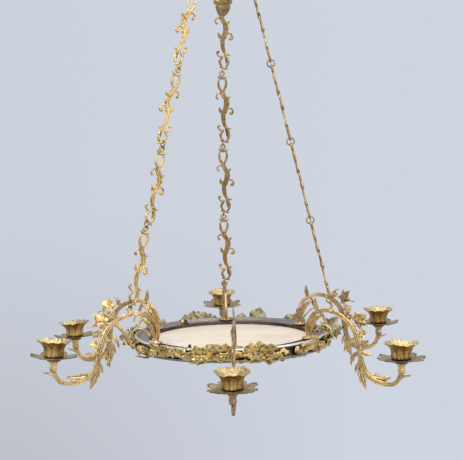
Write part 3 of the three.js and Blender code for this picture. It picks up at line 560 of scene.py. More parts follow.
# Painted shade: dark brown metal laid in grooves and in the valleys of leaves
PAINTED_GROOVE_SHADE = aged_metal("painted_groove_shade", (0.42, 0.27, 0.10), (0.25, 0.15, 0.05), (0.09, 0.05, 0.02),
                          (0.4, 0.6))
BRONZE = aged_metal("aged_bronze", (0.58, 0.42, 0.18), (0.34, 0.22, 0.09), (0.09, 0.055, 0.03))
GREEN_GILT = aged_metal("green_gilt", (0.92, 0.69, 0.30), (0.63, 0.46, 0.18), (0.16, 0.10, 0.04), (0.3, 0.46))
GREY_GREEN = aged_metal("grey_green_back", (0.46, 0.40, 0.24), (0.33, 0.28, 0.16), (0.13, 0.10, 0.05),
                        (0.4, 0.6))
PAN_BRASS = aged_metal("pan_brass", (0.56, 0.45, 0.26), (0.36, 0.28, 0.15), (0.12, 0.09, 0.045), (0.35, 0.55))
PAN_TIP = aged_metal("pan_tip", (0.30, 0.24, 0.15), (0.16, 0.12, 0.08), (0.06, 0.045, 0.03), (0.4, 0.6))
COPPER_RELIEF = aged_metal("copper_relief", (0.72, 0.49, 0.19), (0.42, 0.27, 0.09), (0.12, 0.07, 0.025))
CREAM_GOLD = aged_metal("cream_gold", (0.80, 0.61, 0.31), (0.56, 0.40, 0.18), (0.20, 0.12, 0.05),
                        (0.42, 0.58))
PALE_GREEN_GILT = aged_metal("pale_green_gilt", (0.70, 0.58, 0.33), (0.50, 0.40, 0.20), (0.20, 0.15, 0.07),
                             (0.42, 0.58))
PEWTER = aged_metal("pewter", (0.33, 0.30, 0.28), (0.25, 0.225, 0.21), (0.13, 0.11, 0.10), (0.38, 0.5),
                    grain=0.05 * MM, spots=0.4)
# Painted highlight along the top of the rim's roll, and painted shade over the wall below it
PAINTED_ROLL_HIGHLIGHT = aged_metal("painted_roll_highlight", (0.95, 0.93, 0.91), (0.80, 0.77, 0.74), (0.40, 0.36, 0.34), (0.3, 0.45),
                        grain=0.03 * MM, spots=0.3)
PAINTED_WALL_SHADE = aged_metal("painted_wall_shade", (0.15, 0.12, 0.10), (0.07, 0.055, 0.045), (0.02, 0.015, 0.012),
                       (0.35, 0.5))
DARK_IRON = aged_metal("dark_iron", (0.16, 0.10, 0.08), (0.09, 0.055, 0.045), (0.03, 0.02, 0.018),
                       (0.35, 0.5))
PLATE = plate_stone("opal_plate")


# Places of the arms and the chains

def bearing_in_ring(thickness):
    """Height, from a ring's centre, at which a bar of that thickness bears on its wire."""
    return math.sqrt((RING_RADIUS - RING_WIRE) ** 2 - (thickness / 2) ** 2) - RING_SEAT_GAP


def arm_angle(index):
    return FIRST_ARM_ANGLE + index * ARM_STEP


def arm_place(index):
    """Matrix of an arm's own frame: X outward from its foot, Z up from the flange."""
    foot = round_axis(arm_angle(index), ARM_FOOT_RADIUS, -HANG_DROP)
    return Matrix.Translation(foot) @ turned(arm_angle(index) + ARMS[index]["turn"])


CHAIN_RUN = ARM_FOOT_RADIUS + ARCH_REACH - CROWN_HOOK_RADIUS
CHAIN_LENGTH = math.hypot(CHAIN_RUN, HANG_DROP - CROWN_HOOK_DROP - ARCH_HEIGHT - ARM_EYE_LIFT)
LINK_PITCH = CHAIN_LENGTH / LINKS_PER_CHAIN
EYE_BELOW_RING = bearing_in_ring(LINK_THICKNESS) + LINK_EYE_HOLE


def chain_place(index, below, flipped=False):
    """Matrix on the chain over an arm: X across its links, Y up the chain, at a distance below its top."""
    top = round_axis(arm_angle(index), CROWN_HOOK_RADIUS, -CROWN_HOOK_DROP)
    bottom = arm_place(index) @ Vector((ARCH_REACH, 0, 0))
    run = math.hypot(top.x - bottom.x, top.y - bottom.y)
    bottom.z = top.z - math.sqrt(CHAIN_LENGTH**2 - run**2)
    up = (top - bottom).normalized()
    across = round_axis(CHAIN_FACING[ARMS[index]["chain"]], 1.0)
    across = (across - up * across.dot(up)).normalized() * (-1 if flipped else 1)
    through = across.cross(up)
    matrix = Matrix((across, up, through)).transposed().to_4x4()
    matrix.translation = top - up * below
    return matrix


# Ring frame, plate seat and plate

def arc_profile(centre, radius, start, end, count):
    """(radius, height) points of a round stretch of a profile, in degrees."""
    angles = np.radians(np.linspace(start, end, count))
    return [(centre[0] + radius * math.cos(a), centre[1] + radius * math.sin(a)) for a in angles]


def spun(profile):
    """Rings of a closed profile of (radius, height) pairs, carried round the lamp's axis."""
    radii, heights = np.array(profile).T
    return [circle(radii, t, heights - HANG_DROP) for t in full_turn(RING_SIDES)]


def ring_frame():
    """Spun ring: grey flange with a dark dished lip that also paints the shade against the plate, a painted
    highlight along its roll, painted shade on its wall, and a grey bottom edge.
    """
    flange, lip, roll, wall = range(4)
    wall_inner = WALL_OUTER - WALL_THICKNESS
    dish_outer = FLANGE_INNER + FLANGE_DISH_WIDTH
    soft = 0.5
    lip_height = -FLANGE_DISH - soft
    # The roll zone takes a painted highlight and the wall zone painted shade; the lip's dark metal also
    # paints the shade between flange and plate
    zones = [
        (lip, [(FLANGE_INNER, lip_height)]),
        (lip, arc_profile((FLANGE_INNER + soft, lip_height), soft, 180, 100, 3)),
        (flange, [(FLANGE_INNER + 1.1, -FLANGE_DISH * 0.8), (dish_outer, -0.05), (dish_outer + 1.2, 0.0),
                  (FLANGE_OUTER - 1.5, 0.0), (FLANGE_OUTER - 0.4, 0.3)]),
        (flange, arc_profile(RIM_CENTRE, RIM_ROLL, 150, 95, 5)),
        (roll, arc_profile(RIM_CENTRE, RIM_ROLL, 86, 36, 5)),
        (wall, arc_profile(RIM_CENTRE, RIM_ROLL, 28, -40, 6)),
        (wall, [(WALL_OUTER, -RIM_ROLL), (WALL_OUTER, -WALL_HEIGHT + FOOT_ROLL)]),
        (flange, arc_profile((WALL_OUTER - 0.3, -WALL_HEIGHT), FOOT_ROLL, 60, -110, 8)),
        (wall, [(wall_inner, -WALL_HEIGHT), (wall_inner, -FLANGE_THICKNESS), (dish_outer, -FLANGE_THICKNESS),
                (FLANGE_INNER, -FLANGE_THICKNESS - FLANGE_DISH)]),
    ]
    profile = [spot for _, spots in zones for spot in spots]
    tint = [zone for zone, spots in zones for _ in spots]
    casting = Casting()
    casting.loft(spun(profile), looped=True, tint=tint)
    metals = (PEWTER, DARK_IRON, PAINTED_ROLL_HIGHLIGHT, PAINTED_WALL_SHADE)
    casting.piece("ring_frame_spun", metals, "lamp", "pewter", "ring_frame")


def plate_seat():
    outer = FLANGE_INNER - SEAT_GAP
    inner = outer - SEAT_WALL
    ledge = -SEAT_DEPTH + SEAT_WALL
    bead = 0.85
    soft = 0.4
    profile = [(outer, -FLANGE_DISH), *arc_profile((inner + bead, -0.35), bead, -40, 180, 9),
               (inner, ledge + soft), (inner - soft, ledge), (inner - SEAT_LEDGE, ledge),
               (inner - SEAT_LEDGE, -SEAT_DEPTH), (outer, -SEAT_DEPTH)]
    casting = Casting()
    casting.loft(spun(profile), looped=True)
    casting.piece("plate_seat_spun", (DARK_IRON,), "lamp", "dark_iron", "plate_seat")


def centre_plate():
    radius = FLANGE_INNER - SEAT_GAP - SEAT_WALL - PLATE_GAP
    bottom = -SEAT_DEPTH + SEAT_WALL + SEAT_GAP - HANG_DROP
    top = bottom + PLATE_THICKNESS
    edge = PLATE_THICKNESS * 0.4
    bevel = edge * 0.3
    core = 2.0
    profile = [(core, bottom), (radius - edge, bottom), (radius - bevel, bottom + bevel),
               (radius, bottom + edge), (radius, top - edge), (radius - bevel, top - bevel),
               (radius - edge, top), (radius * 0.5, top), (core, top)]
    casting = Casting()
    casting.loft(revolved(profile, RING_SIDES))
    casting.piece("opal_plate_disc", (PLATE,), "plate", "milk_glass", "centre_plate")


# Scroll arms

# Width of the strip in the arm's plane, from its foot to its socket
ARM_STRIP_WIDTHS = (6.2, 5.8, 5.6, 5.8, 6.2, 7.2, 7.4, 7.2, 7.0, 5.6, 4.8)
# Thickness across the arm's plane, in lumps where leaves spring from the strip
ARM_STRIP_DEPTHS = (4.0, 4.6, 3.8, 4.6, 4.0, 5.2, 4.0, 5.6, 4.4, 5.8, 4.2, 5.4, 4.0, 4.8, 4.2)
# Leaves as base and tip (outward, up), width, sideways bow, curl out of the arm's plane, teeth
ARM_LEAVES = (
    ((0, 5), (25, 36), 8.5, 6.5, 1, 0),
    ((17, 38), (12, 59), 7, 1.5, 1, 0),
    ((21, 40), (30, 21), 5, 0, -1, 0),
    ((78, 10), (58, -11), 8, -4, 1.5, 3),
    ((79, -5), (102, -11), 7, -2, -1.5, 3),
    ((80, -8), (67, -29), 8, -3, -1.5, 3),
    ((82, -17), (93, -57), 14, -2, 2, 4),
    ((84, -21), (76, -37), 6, -2, 2, 2),
    ((92, -37), (129, -38), 12, -3, -2, 5),
)
# Vine leaves as stalk end (outward, up), heading in the arm's plane, size, tilt out of that plane
ARM_VINE_LEAVES = (
    ((73, 27), 40, 15.5, 12),
    ((80, 14), 20, 9.5, -25),
    ((84, 2), 5, 8, 20),
    ((62, 35), 75, 8, -20),
)
# Thin strands as points (outward, up) and their widths
ARM_STRANDS = (
    (((60, 34), (70, 25), (77, 14), (83, 0), (90, -9), (103, -12)), (2.6, 2.8, 2.4, 1.4)),
    (((64, 24), (74, 25), (84, 27), (94, 27), (102, 25)), (2.0, 1.7, 1.3)),
    (((8, 11), (15, 17), (23, 22), (31, 21), (37, 16), (38, 10)), (3.2, 2.6, 2.2, 1.6)),
    (((76, 18), (83, 14), (87, 8), (86, 2)), (1.8, 1.4, 1.2)),
    (((58, 36), (62, 42), (66, 46), (72, 47)), (2.4, 1.8, 1.6)),
    (((138, -42), (145, -35.5), (152, -32.5), (157, -32), (161, -29.5)), (5, 5, 3.8, 2.4, 1)),
)


ARM_GILT = {"back": BROWN_GILT, "back_left": GILT, "front_left": LIGHT_GILT, "front": ROSE_GILT,
            "front_right": LIGHT_GILT, "back_right": ROSE_GILT}


def arm_lean(index):
    """Angle at which an arm's casting leans about its foot, so that its socket has the stated rise."""
    return math.asin(ARMS[index]["rise"] / ARM_REACH)


def leaned_place(index):
    """Matrix of an arm's casting, leaning about its foot."""
    return arm_place(index) @ Matrix.Rotation(-arm_lean(index), 4, "Y")


def socket_place(index, above=0.0):
    """Matrix at an arm's socket, a distance above the top of its calyx."""
    return leaned_place(index) @ moved(ARM_REACH, 0, -SOCKET_DEPTH + above)


def arm_spine():
    """Centreline of an arm's main strip in its own plane, from the foot to the socket."""
    top, low = ARCH_HEIGHT, -DIP_DEPTH
    return [
        (0, 2.0),
        (-ARCH_REACH * 0.08, top * 0.4),
        (ARCH_REACH * 0.17, top * 0.8),
        (ARCH_REACH * 0.55, top * 0.97),
        (ARCH_REACH, top),
        (between(ARCH_REACH, STEM_REACH, 0.5), top * 0.82),
        (between(ARCH_REACH, STEM_REACH, 0.86), top * 0.45),
        (STEM_REACH, 0),
        (between(STEM_REACH, DIP_REACH, 0.14), low * 0.52),
        (between(STEM_REACH, DIP_REACH, 0.42), low * 0.86),
        (DIP_REACH, low),
        (between(DIP_REACH, ARM_REACH, 0.66), low * 0.92),
        (ARM_REACH, -SOCKET_DEPTH - CALYX_HEIGHT + 2),
    ]


def scroll_arm(index):
    name = ARMS[index]["place"]
    plane = upright(leaned_place(index))
    casting = Casting()
    strand(casting, plane, arm_spine(), ARM_STRIP_WIDTHS, ARM_STRIP_DEPTHS, 150, RIDGED, 0.01)
    for form in ARM_LEAVES:
        leaf(casting, plane, *form)
    for points, widths in ARM_STRANDS:
        strand(casting, plane, points, widths, (2.4, 1.6), 30)
    for number, (base, heading, size, tilt) in enumerate(ARM_VINE_LEAVES):
        place = plane @ moved(*base, 0) @ turned(heading) @ turned(tilt, "X")
        vine_leaf(casting, place, size, cup=0.05, wave=0.08, ragged=number * 0.37, fullness=0.38)
    arm_foot(casting, arm_place(index))
    calyx(casting, socket_place(index))
    if ARMS[index]["chain"]:
        chain_eye(casting, index)
    metals = (ARM_GILT[name], PAINTED_GROOVE_SHADE, PAN_TIP)
    casting.piece(f"scroll_arm_{name}", metals, "lamp", "gilt", f"arm_{name}")


def arm_foot(casting, place):
    """Oval saucer with a raised edge on the flange, over the threaded shank."""
    saucer = [(0.5, SEAT_GAP), (7.0, SEAT_GAP), (8.2, 1.3), (9.0, 2.8), (8.9, 3.4), (8.4, 3.6), (7.5, 2.5),
              (6.0, 1.8), (4.4, 2.1), (3.5, 3.4), (3.0, 5.4), (0.5, 5.8)]
    oval = Matrix.Diagonal((1.0, 1.33, 1.0, 1.0))
    casting.loft(revolved(saucer, 36), place @ oval)
    shank = [(0.5, -7.0), (2.5, -7.0), (2.5, 1.0), (0.5, 1.0)]
    casting.loft(revolved(shank, 20), place)


def calyx(casting, place):
    """Leafy cup under the pan, with the stub that the nozzle screws on."""
    neck = [(0.5, -CALYX_HEIGHT), (3.6, -CALYX_HEIGHT), (4.6, -15.6), (5.0, -13.4), (4.6, -11.4), (4.0, -9.8),
            (4.4, -8.4), (5.4, -6.6), (6.4, -5.2), (7.2, -4.2)]
    disc = [(8.8, -3.6), (CALYX_RADIUS, -2.8), (CALYX_RADIUS, -1.0), (7.6, -0.8), (7.6, 0.0),
            (STUB_RADIUS, 0.0), (STUB_RADIUS, STUB_LENGTH), (0.5, STUB_LENGTH)]
    leafy = len(neck) / (len(neck) + len(disc) - 1)
    rings = revolved(neck + disc, 48, lobed(amount=0.10, lobes=6, low=0.05, high=leafy))
    gilt, dark = 0, 2
    tint = np.array([gilt] * (len(neck) - 1) + [dark] * len(disc))
    casting.loft(rings, place, tint=tint[:, None])


def flat_eye(casting, place, radius, thickness):
    """Eye with the hole that a chain's ring goes through, flattened to a thickness."""
    wire = (radius - LINK_EYE_HOLE) / 2
    rings = torus_rings(LINK_EYE_HOLE + wire, wire, 28) * np.array([1, 1, thickness / 2 / wire])
    casting.loft(rings, place, looped=True)


def chain_eye(casting, index):
    """Upright eye on the arch for the chain's last ring."""
    ring = chain_place(index, CHAIN_LENGTH)
    drop = bearing_in_ring(ARM_EYE_THICKNESS) + LINK_EYE_HOLE
    flat_eye(casting, ring @ moved(0, -drop, 0), ARM_EYE_RADIUS, ARM_EYE_THICKNESS)
    centre = ring @ Vector((0, -drop, 0))
    out = (arm_place(index).inverted() @ centre).x
    lean = arm_lean(index)
    foot = -HANG_DROP + ARCH_HEIGHT * math.cos(lean) + out * math.sin(lean) - 1
    height = centre.z - ARM_EYE_RADIUS * 0.75 - foot
    profile = [(0.4, 0.0), (3.6, 0.0), (3.0, height * 0.2), (1.9, height * 0.45), (1.7, height * 0.6),
               (2.6, height * 0.74), (1.9, height * 0.86), (2.3, height), (0.4, height)]
    casting.loft(revolved(profile, 20), moved(centre.x, centre.y, foot))


# Pans and nozzles

def drip_pan(index):
    """Thin leafy dish with lobed, gently waved edge."""
    name = ARMS[index]["place"]
    place = socket_place(index, SEAT_GAP) @ turned(ARMS[index]["pan_turn"])
    lobes = 8
    turns = full_turn(lobes * 24)
    big = np.abs(np.cos(turns * lobes / 2)) ** 0.7
    saw = np.abs((turns / TURN * lobes * 4 + 0.15 * np.sin(3 * turns)) % 1.0 - 0.5) * 2
    edge = PAN_RADIUS - 8.4 + 9.0 * big + 2.2 * saw
    inner = STUB_RADIUS + SEAT_GAP
    shares = np.array([0, 0.12, 0.24, 0.36, 0.48, 0.58, 0.68, 0.78, 0.86, 0.92, 0.96, 1.0])
    fronts, backs = [], []
    for share in shares:
        radius = inner + (edge - inner) * share
        slope = np.clip((share - 0.42) / 0.58, 0, 1)
        waves = 0.6 * np.cos(lobes * turns) + 0.9 * np.sin(3 * turns + index)
        curl = 0.8 * np.clip((share - 0.8) / 0.2, 0, 1) ** 2 * big
        vein = 0.35 * slope * np.abs(np.sin(turns * lobes / 2)) ** 6
        height = 1.3 * slope**1.5 + slope**2 * waves + curl - vein + PAN_THICKNESS / 2
        half = PAN_THICKNESS / 2 * (1 - 0.45 * share)
        fronts.append(circle(radius, turns, height + half))
        backs.append(circle(radius, turns, height - half))
    tips = (shares > 0.9).astype(int)
    tint = np.concatenate([tips, tips[::-1]])
    casting = Casting()
    casting.loft(np.array(fronts + backs[::-1]), place, looped=True, tint=tint[:, None])
    casting.piece(f"leaf_pan_{name}", (PAN_BRASS, PAN_TIP), "lamp", "pan_brass", f"drip_pan_{name}")


def candle_nozzle(index):
    """Fluted flower cup: near upright below, pleated within, with a scalloped, spreading rim."""
    name = ARMS[index]["place"]
    place = socket_place(index, 2 * SEAT_GAP + PAN_THICKNESS) @ turned(17.0 * index)
    petals = 12
    leaves = 8
    relief_height = 0.72
    outer = smooth_path([(10.6, 0.0), (12.2, 0.6), (12.8, 3.0), (12.6, 6.0), (13.0, 10.0), (14.4, 13.4),
                         (17.8, 17.2), (22.2, 20.3)], 22)
    inner = smooth_path([(21.6, 20.8), (17.8, 18.3), (13.9, 15.8), (11.8, 13.6), (CANDLE_BORE, 11.6),
                         (CANDLE_BORE, NOZZLE_FLOOR)], 16)
    profile = [(3.2, 0.0), *map(tuple, outer), *map(tuple, inner), (0.6, NOZZLE_FLOOR)]
    outside = len(outer) / (len(profile) - 1)

    def wave(share, turns, radius):
        flare = np.clip((radius - 11.5) / 10.0, 0, 1)
        scallop = np.abs(np.cos(turns * petals / 2))
        uneven = 0.5 * np.sin(3 * turns + index) + 0.4 * np.sin(5 * turns + 2 * index)
        pleat = 0.45 * flare * np.cos(2 * petals * turns) * (share > outside)
        height = np.clip(share / outside / relief_height, 0, 1)
        blade = np.abs(np.cos(leaves * turns / 2)) ** (0.5 + 2.5 * height)
        relief = 1.5 * (blade - 0.5) * math.sin(math.pi * height) ** 0.5
        wider = flare * (1.2 * scallop - 0.5 + uneven * 0.4) + relief
        higher = flare**2 * (1.6 * scallop - 0.5 + uneven) + pleat
        return wider, higher

    columns = petals * 12
    turns = (np.arange(columns) + 0.5) * TURN / columns
    copper, cream, green, brown = range(4)
    tint = np.full((len(profile) - 1, columns), cream)
    tint[: len(outer)] = copper
    tint[len(outer) : len(outer) + 4] = green
    # Painted shade: the valleys between the relief's blades take the dark brown tint
    for row in range(2, int(len(outer) * relief_height)):
        valley = 0.18 + 0.5 * row / len(outer)
        tint[row] = np.where(np.abs(np.cos(leaves * turns / 2)) < valley, brown, copper)
    casting = Casting()
    casting.loft(revolved(profile, columns, wave), place, tint=tint)
    metals = (COPPER_RELIEF, CREAM_GOLD, PALE_GREEN_GILT, PAINTED_GROOVE_SHADE)
    casting.piece(f"flower_nozzle_{name}", metals, "lamp", "bronze", f"candle_nozzle_{name}")


# Chains

LINK_DRAWN_LENGTH = 94.0
# Strands of a link in its own plane, as points (across, up from the crossbar) and their widths
LINK_STRANDS = (
    (((-6.9, 1.9), (-3.6, -0.8), (0.2, -1.8), (4.4, -1.0), (8.3, 1.1)), (1.4, 3.6, 4.4, 3.4, 1.3)),
    (((-3.6, -2.4), (-5.4, -7.4), (-4.6, -14.2), (-1.2, -20.4), (2.2, -26.4)), (2, 3, 4.4, 4.4, 3.6)),
    (((4.4, -2.4), (6.0, -7.6), (5.0, -14.0), (2.6, -19.6), (3.2, -24.6)), (2.4, 3.4, 4, 3.4, 2.6)),
    (((1.2, -22.5), (4.6, -30.2), (6.2, -38.6), (4.4, -46.6), (1.8, -52.6), (1.2, -59.6), (2.4, -68.2),
      (5.6, -73.8), (9.6, -75.6), (13.2, -75.4)), (3.6, 5.8, 8, 7.8, 7.2, 6.8, 6.4, 5.4, 3.6, 1.6)),
    (((2.0, -31.4), (-0.7, -25.8), (-4.2, -23.5), (-7.9, -25.4), (-8.9, -29.2), (-7.2, -31.2)),
     (3.2, 2.8, 2.4, 2.1, 2.0)),
    (((4.6, -53.6), (6.4, -47.4), (9.4, -45.1), (13.2, -46.2), (15.6, -50), (14.8, -53.4), (12.6, -53.6)),
     (3.6, 3.0, 2.8, 2.5, 2.4)),
    (((2.2, -77.2), (-1.6, -78.0), (-5.0, -76.0), (-7.0, -72.8), (-5.8, -70.4), (-4.4, -71.2)),
     (3.2, 3.0, 2.6, 2.2)),
    (((1.4, -77.6), (-2.4, -83.0), (-3.0, -86.8), (-0.9, -90.6), (2.6, -94.6)), (3.2, 3.8, 3.8, 3, 2.2)),
    (((3.4, -71.5), (7.4, -78.6), (9.0, -84.4), (8.4, -89.4), (5.4, -94.4)), (3.6, 4.4, 4.4, 3.8, 2.6)),
    (((-4.2, -92.2), (0.2, -94.0), (4.6, -95.0), (9.4, -96.2)), (1.4, 2.6, 2.8, 1.6)),
)
# Balls in the curls of a link, as place and radius
LINK_BALLS = (((-7.0, -30.8, 0), 2.0), ((12.6, -52.9, 0), 2.5), ((-4.8, -71.2, 0), 1.8))
# Leaves of a link, as base, tip, width, sideways bow
LINK_LEAVES = (
    ((5.6, -36), (12.4, -28.4), 4.4, 1.2),
    ((6.6, -42), (10.6, -37.8), 3.6, 0.4),
    ((1.2, -54), (-4.6, -43.6), 5.0, 1.2),
    ((4.4, -74), (5.6, -88), 3.6, 1.2),
)


def cast_link(name, body, node, place, material):
    """One cast link, its origin at the centre of the ring above it."""
    casting = Casting()
    crossbar = -EYE_BELOW_RING - LINK_EYE_RADIUS - LINK_STRAND * 0.3
    bar = -LINK_PITCH + bearing_in_ring(LINK_THICKNESS) - LINK_STRAND / 2
    stretch = (crossbar - bar) / LINK_DRAWN_LENGTH
    plane = place @ moved(0, crossbar, 0) @ Matrix.Diagonal((1, stretch, 1, 1))
    depths = (LINK_THICKNESS, LINK_THICKNESS * 0.8)
    for points, widths in LINK_STRANDS:
        count, section = (56, RIDGED) if max(widths) > LINK_THICKNESS * 1.6 else (28, ROUND)
        strand(casting, plane, points, widths, depths, count, section)
    for centre, radius in LINK_BALLS:
        ball(casting, plane, centre, radius, 0.85)
    for form in LINK_LEAVES:
        leaf(casting, plane, *form, thickness=2.6, rows=20)
    flat_eye(casting, place @ moved(0, -EYE_BELOW_RING, 0), LINK_EYE_RADIUS, LINK_THICKNESS)
    casting.piece(name, (material, PAINTED_GROOVE_SHADE), body, "gilt", node)


def chain_ring(name, node, place):
    casting = Casting()
    casting.loft(torus_rings(RING_RADIUS, RING_WIRE), place @ turned(90, "Y"), looped=True)
    casting.piece(name, (BRONZE,), "lamp", "bronze", node)


# Metal of each chain's links, and the numbers of those that hang the other way round
CHAIN_METAL = {"back": BROWN_GILT, "left": GILT, "right": BROWN_GILT}
FLIPPED_LINKS = {"back": (), "left": (3, 4), "right": ()}


def chain(index):
    side = ARMS[index]["chain"]
    for k in range(LINKS_PER_CHAIN):
        number = k + 1
        node = f"chain_{side}_link_{number}"
        place = chain_place(index, k * LINK_PITCH, number in FLIPPED_LINKS[side])
        cast_link(f"cast_{node}", f"{side}_link_{number}", node, place, CHAIN_METAL[side])
        ring = f"chain_{side}_ring_{number}"
        chain_ring(f"wire_{ring}", ring, chain_place(index, number * LINK_PITCH))


# Garland

GARLAND_SPAN = 112.0
GARLAND_FIRST_ANGLE = 3.5
GARLAND_DROP = 6.0
GARLAND_WAVE = 2.6
GARLAND_STEM_RING = RIM_OUTER + SEAT_GAP + 2.0
GARLAND_PLACES = ("right", "back_left", "front_left")
# Groups of leaves that stand above the rim: angle round the ring, number of leaves, size
RISING_LEAVES = ((41, 1, 10), (50, 2, 12), (60, 1, 9), (73, 1, 13), (83, 1, 8), (102, 1, 10), (110, 2, 12),
                 (118, 1, 9), (136, 1, 10), (165, 2, 11), (178, 2, 12), (196, 1, 11), (222, 1, 9),
                 (252, 1, 11), (260, 2, 13), (267, 1, 10), (281, 1, 11), (288, 2, 13), (325, 1, 9),
                 (345, 2, 11), (0, 2, 12), (15, 1, 10))
# Leaves that reach out from the rim at both sides, facing the front: angle round the ring, tilt, size
OUTWARD_LEAVES = ((182, 62, 17), (190, 76, 12), (2, 30, 15), (12, 22, 11), (353, 52, 13))
# Stretches round the ring where the wall, dark with painted shade, shows above the garland
BARE_STRETCHES = ((210, 218), (268, 277), (294, 311))
# Stretches where the garland hides the roll's painted highlight
COVERED_STRETCHES = ((218, 250), (311, 350))

GARLAND_METALS = (GREEN_GILT, GILT, DARK_IRON, GREY_GREEN, PAINTED_GROOVE_SHADE)
GREEN_TINT, GILT_TINT, IRON_TINT, GREY_TINT, VALLEY_SHADE_TINT = range(len(GARLAND_METALS))
# Tints of a leaf's face, of the painted shade in its valleys, and of its back
HANGING_TINTS = (GREEN_TINT, VALLEY_SHADE_TINT, GREEN_TINT)
RISING_TINTS = (GREEN_TINT, VALLEY_SHADE_TINT, GREY_TINT)
OUTWARD_TINTS = (GREY_TINT, VALLEY_SHADE_TINT, GREY_TINT)

# Turns the face of an upright leaf, which lies across Z, outward
FACE_OUTWARD = Matrix(((0, 0, 1, 0), (0, 1, 0, 0), (1, 0, 0, 0), (0, 0, 0, 1)))


def in_stretches(degrees, stretches):
    return any(low < degrees % 360 < high for low, high in stretches)


def garland(piece_index):
    name = GARLAND_PLACES[piece_index]
    middle = GARLAND_FIRST_ANGLE + piece_index * 120.0
    half_span = GARLAND_SPAN / 2
    start, end = middle - half_span, middle + half_span
    chance = random.Random(40 + piece_index)
    casting = Casting()

    def stem_at(degrees):
        share = (degrees - middle) / GARLAND_SPAN + 0.5
        height = -GARLAND_DROP + GARLAND_WAVE * math.sin(share * TURN * 3)
        return round_axis(degrees, GARLAND_STEM_RING, height - HANG_DROP)

    count = 110
    route = np.array([stem_at(a) for a in np.linspace(start, end, count)])
    band = [4.6 + 1.1 * math.sin(k * 1.3) + chance.uniform(-0.5, 0.5) for k in range(60)]
    depth = [2.0 + 0.5 * math.sin(k * 1.9) for k in range(60)]
    casting.loft(sweep(route, blunt(depth, count, 0.02), blunt(band, count, 0.02), ROUND, (0, 0, 1)))

    def add_leaf(degrees, tilt, spin, size, lift, tints, roll=0.0, fullness=0.86):
        """Vine leaf on the stem: tilt 0 stands up, 90 lies outward, 180 hangs down."""
        base = stem_at(degrees) + Vector((0, 0, lift))
        place = Matrix.Translation(base) @ turned(degrees) @ turned(tilt, "Y") @ FACE_OUTWARD
        place = place @ turned(roll, "X") @ turned(spin) @ Matrix.Diagonal((1.0, 1.25, 1.0, 1.0))
        cup, wave = chance.uniform(-0.2, 0.25), chance.uniform(0.08, 0.16)
        vine_leaf(casting, place, size, cup, wave, chance.random(), fullness, tints)

    for degrees, number, size in RISING_LEAVES:
        away = turn_from(middle, degrees)
        if abs(away) > half_span:
            continue
        for k in range(number):
            shift = (k - (number - 1) / 2) * 5.0
            spin = -shift * 4 + chance.uniform(-15, 15)
            add_leaf(middle + away + shift, 12 + 14 * k, spin, size, 1.0, RISING_TINTS)
    for degrees in np.arange(start + 2, end - 1, 7.2):
        tilt, lift = 36, -6.0
        if in_stretches(degrees, COVERED_STRETCHES):
            tilt, lift = 28, -3.0
        if in_stretches(degrees, BARE_STRETCHES):
            tilt, lift = 70, -8.0
        add_leaf(degrees, tilt + chance.uniform(-10, 10), chance.uniform(-50, 50),
                 chance.uniform(8.6, 10.6), lift, HANGING_TINTS)
        add_leaf(degrees + 3.6, chance.uniform(110, 126), chance.uniform(-60, 60),
                 chance.uniform(5.6, 6.8), 4.5, HANGING_TINTS)
    for degrees, tilt, size in OUTWARD_LEAVES:
        away = turn_from(middle, degrees)
        if abs(away) < half_span:
            facing = 75 if math.cos(math.radians(degrees)) < 0 else -75
            add_leaf(middle + away, tilt, 0, size, 5.0, OUTWARD_TINTS, facing, 0.44)
    for degrees in np.arange(start + 7, end - 4, 14.4):
        out = round_axis(degrees, 1.0)
        sideways = Vector((-out.y, out.x, 0))
        for grape in range(7):
            row, column = divmod(grape, 3)
            spot = stem_at(degrees) + out * (2.6 + chance.uniform(0, 1.2))
            spot += sideways * ((column - 1) * 4.0 + row * 2.0)
            spot += Vector((0, 0, 2.6 - row * 2.9 + chance.uniform(-0.6, 0.6)))
            ball(casting, None, spot, chance.uniform(2.2, 2.9), columns=10)
    lug_and_stud(casting, middle)
    casting.piece(f"vine_garland_{name}", GARLAND_METALS, "lamp", "green_gilt", f"garland_{name}")


def lug_and_stud(casting, degrees):
    """Strap over the rim, and the knobbed stud that holds it on the flange."""
    place = moved(0, 0, -HANG_DROP) @ turned(degrees)
    half = 0.6
    lift = SEAT_GAP + half
    spine = [(ARM_FOOT_RADIUS - 3.2, lift), (FLANGE_OUTER - lift, lift),
             (FLANGE_OUTER + RIM_ROLL * 0.5 - lift * 0.7, RIM_ROLL * 0.8 + lift),
             (FLANGE_OUTER + RIM_ROLL * 1.4, RIM_ROLL + lift * 1.1), (RIM_OUTER + lift * 1.2, lift),
             (GARLAND_STEM_RING, -GARLAND_DROP * 0.6), (GARLAND_STEM_RING, -GARLAND_DROP)]
    strand(casting, upright(place), spine, (2 * half,), (5.0,), 30, ROUND, 0.02, GILT_TINT)
    stud = [(0.4, SEAT_GAP), (4.6, SEAT_GAP), (4.8, 1.0), (4.4, 1.5), (2.6, 1.6), (1.5, 2.6), (1.6, 3.2),
            (2.4, 4.1), (2.4, 4.9), (1.7, 5.8), (0.4, 6.1)]
    casting.loft(revolved(stud, 20), place @ moved(ARM_FOOT_RADIUS, 0, 0), tint=IRON_TINT)


# Hanging ring, rod and crown

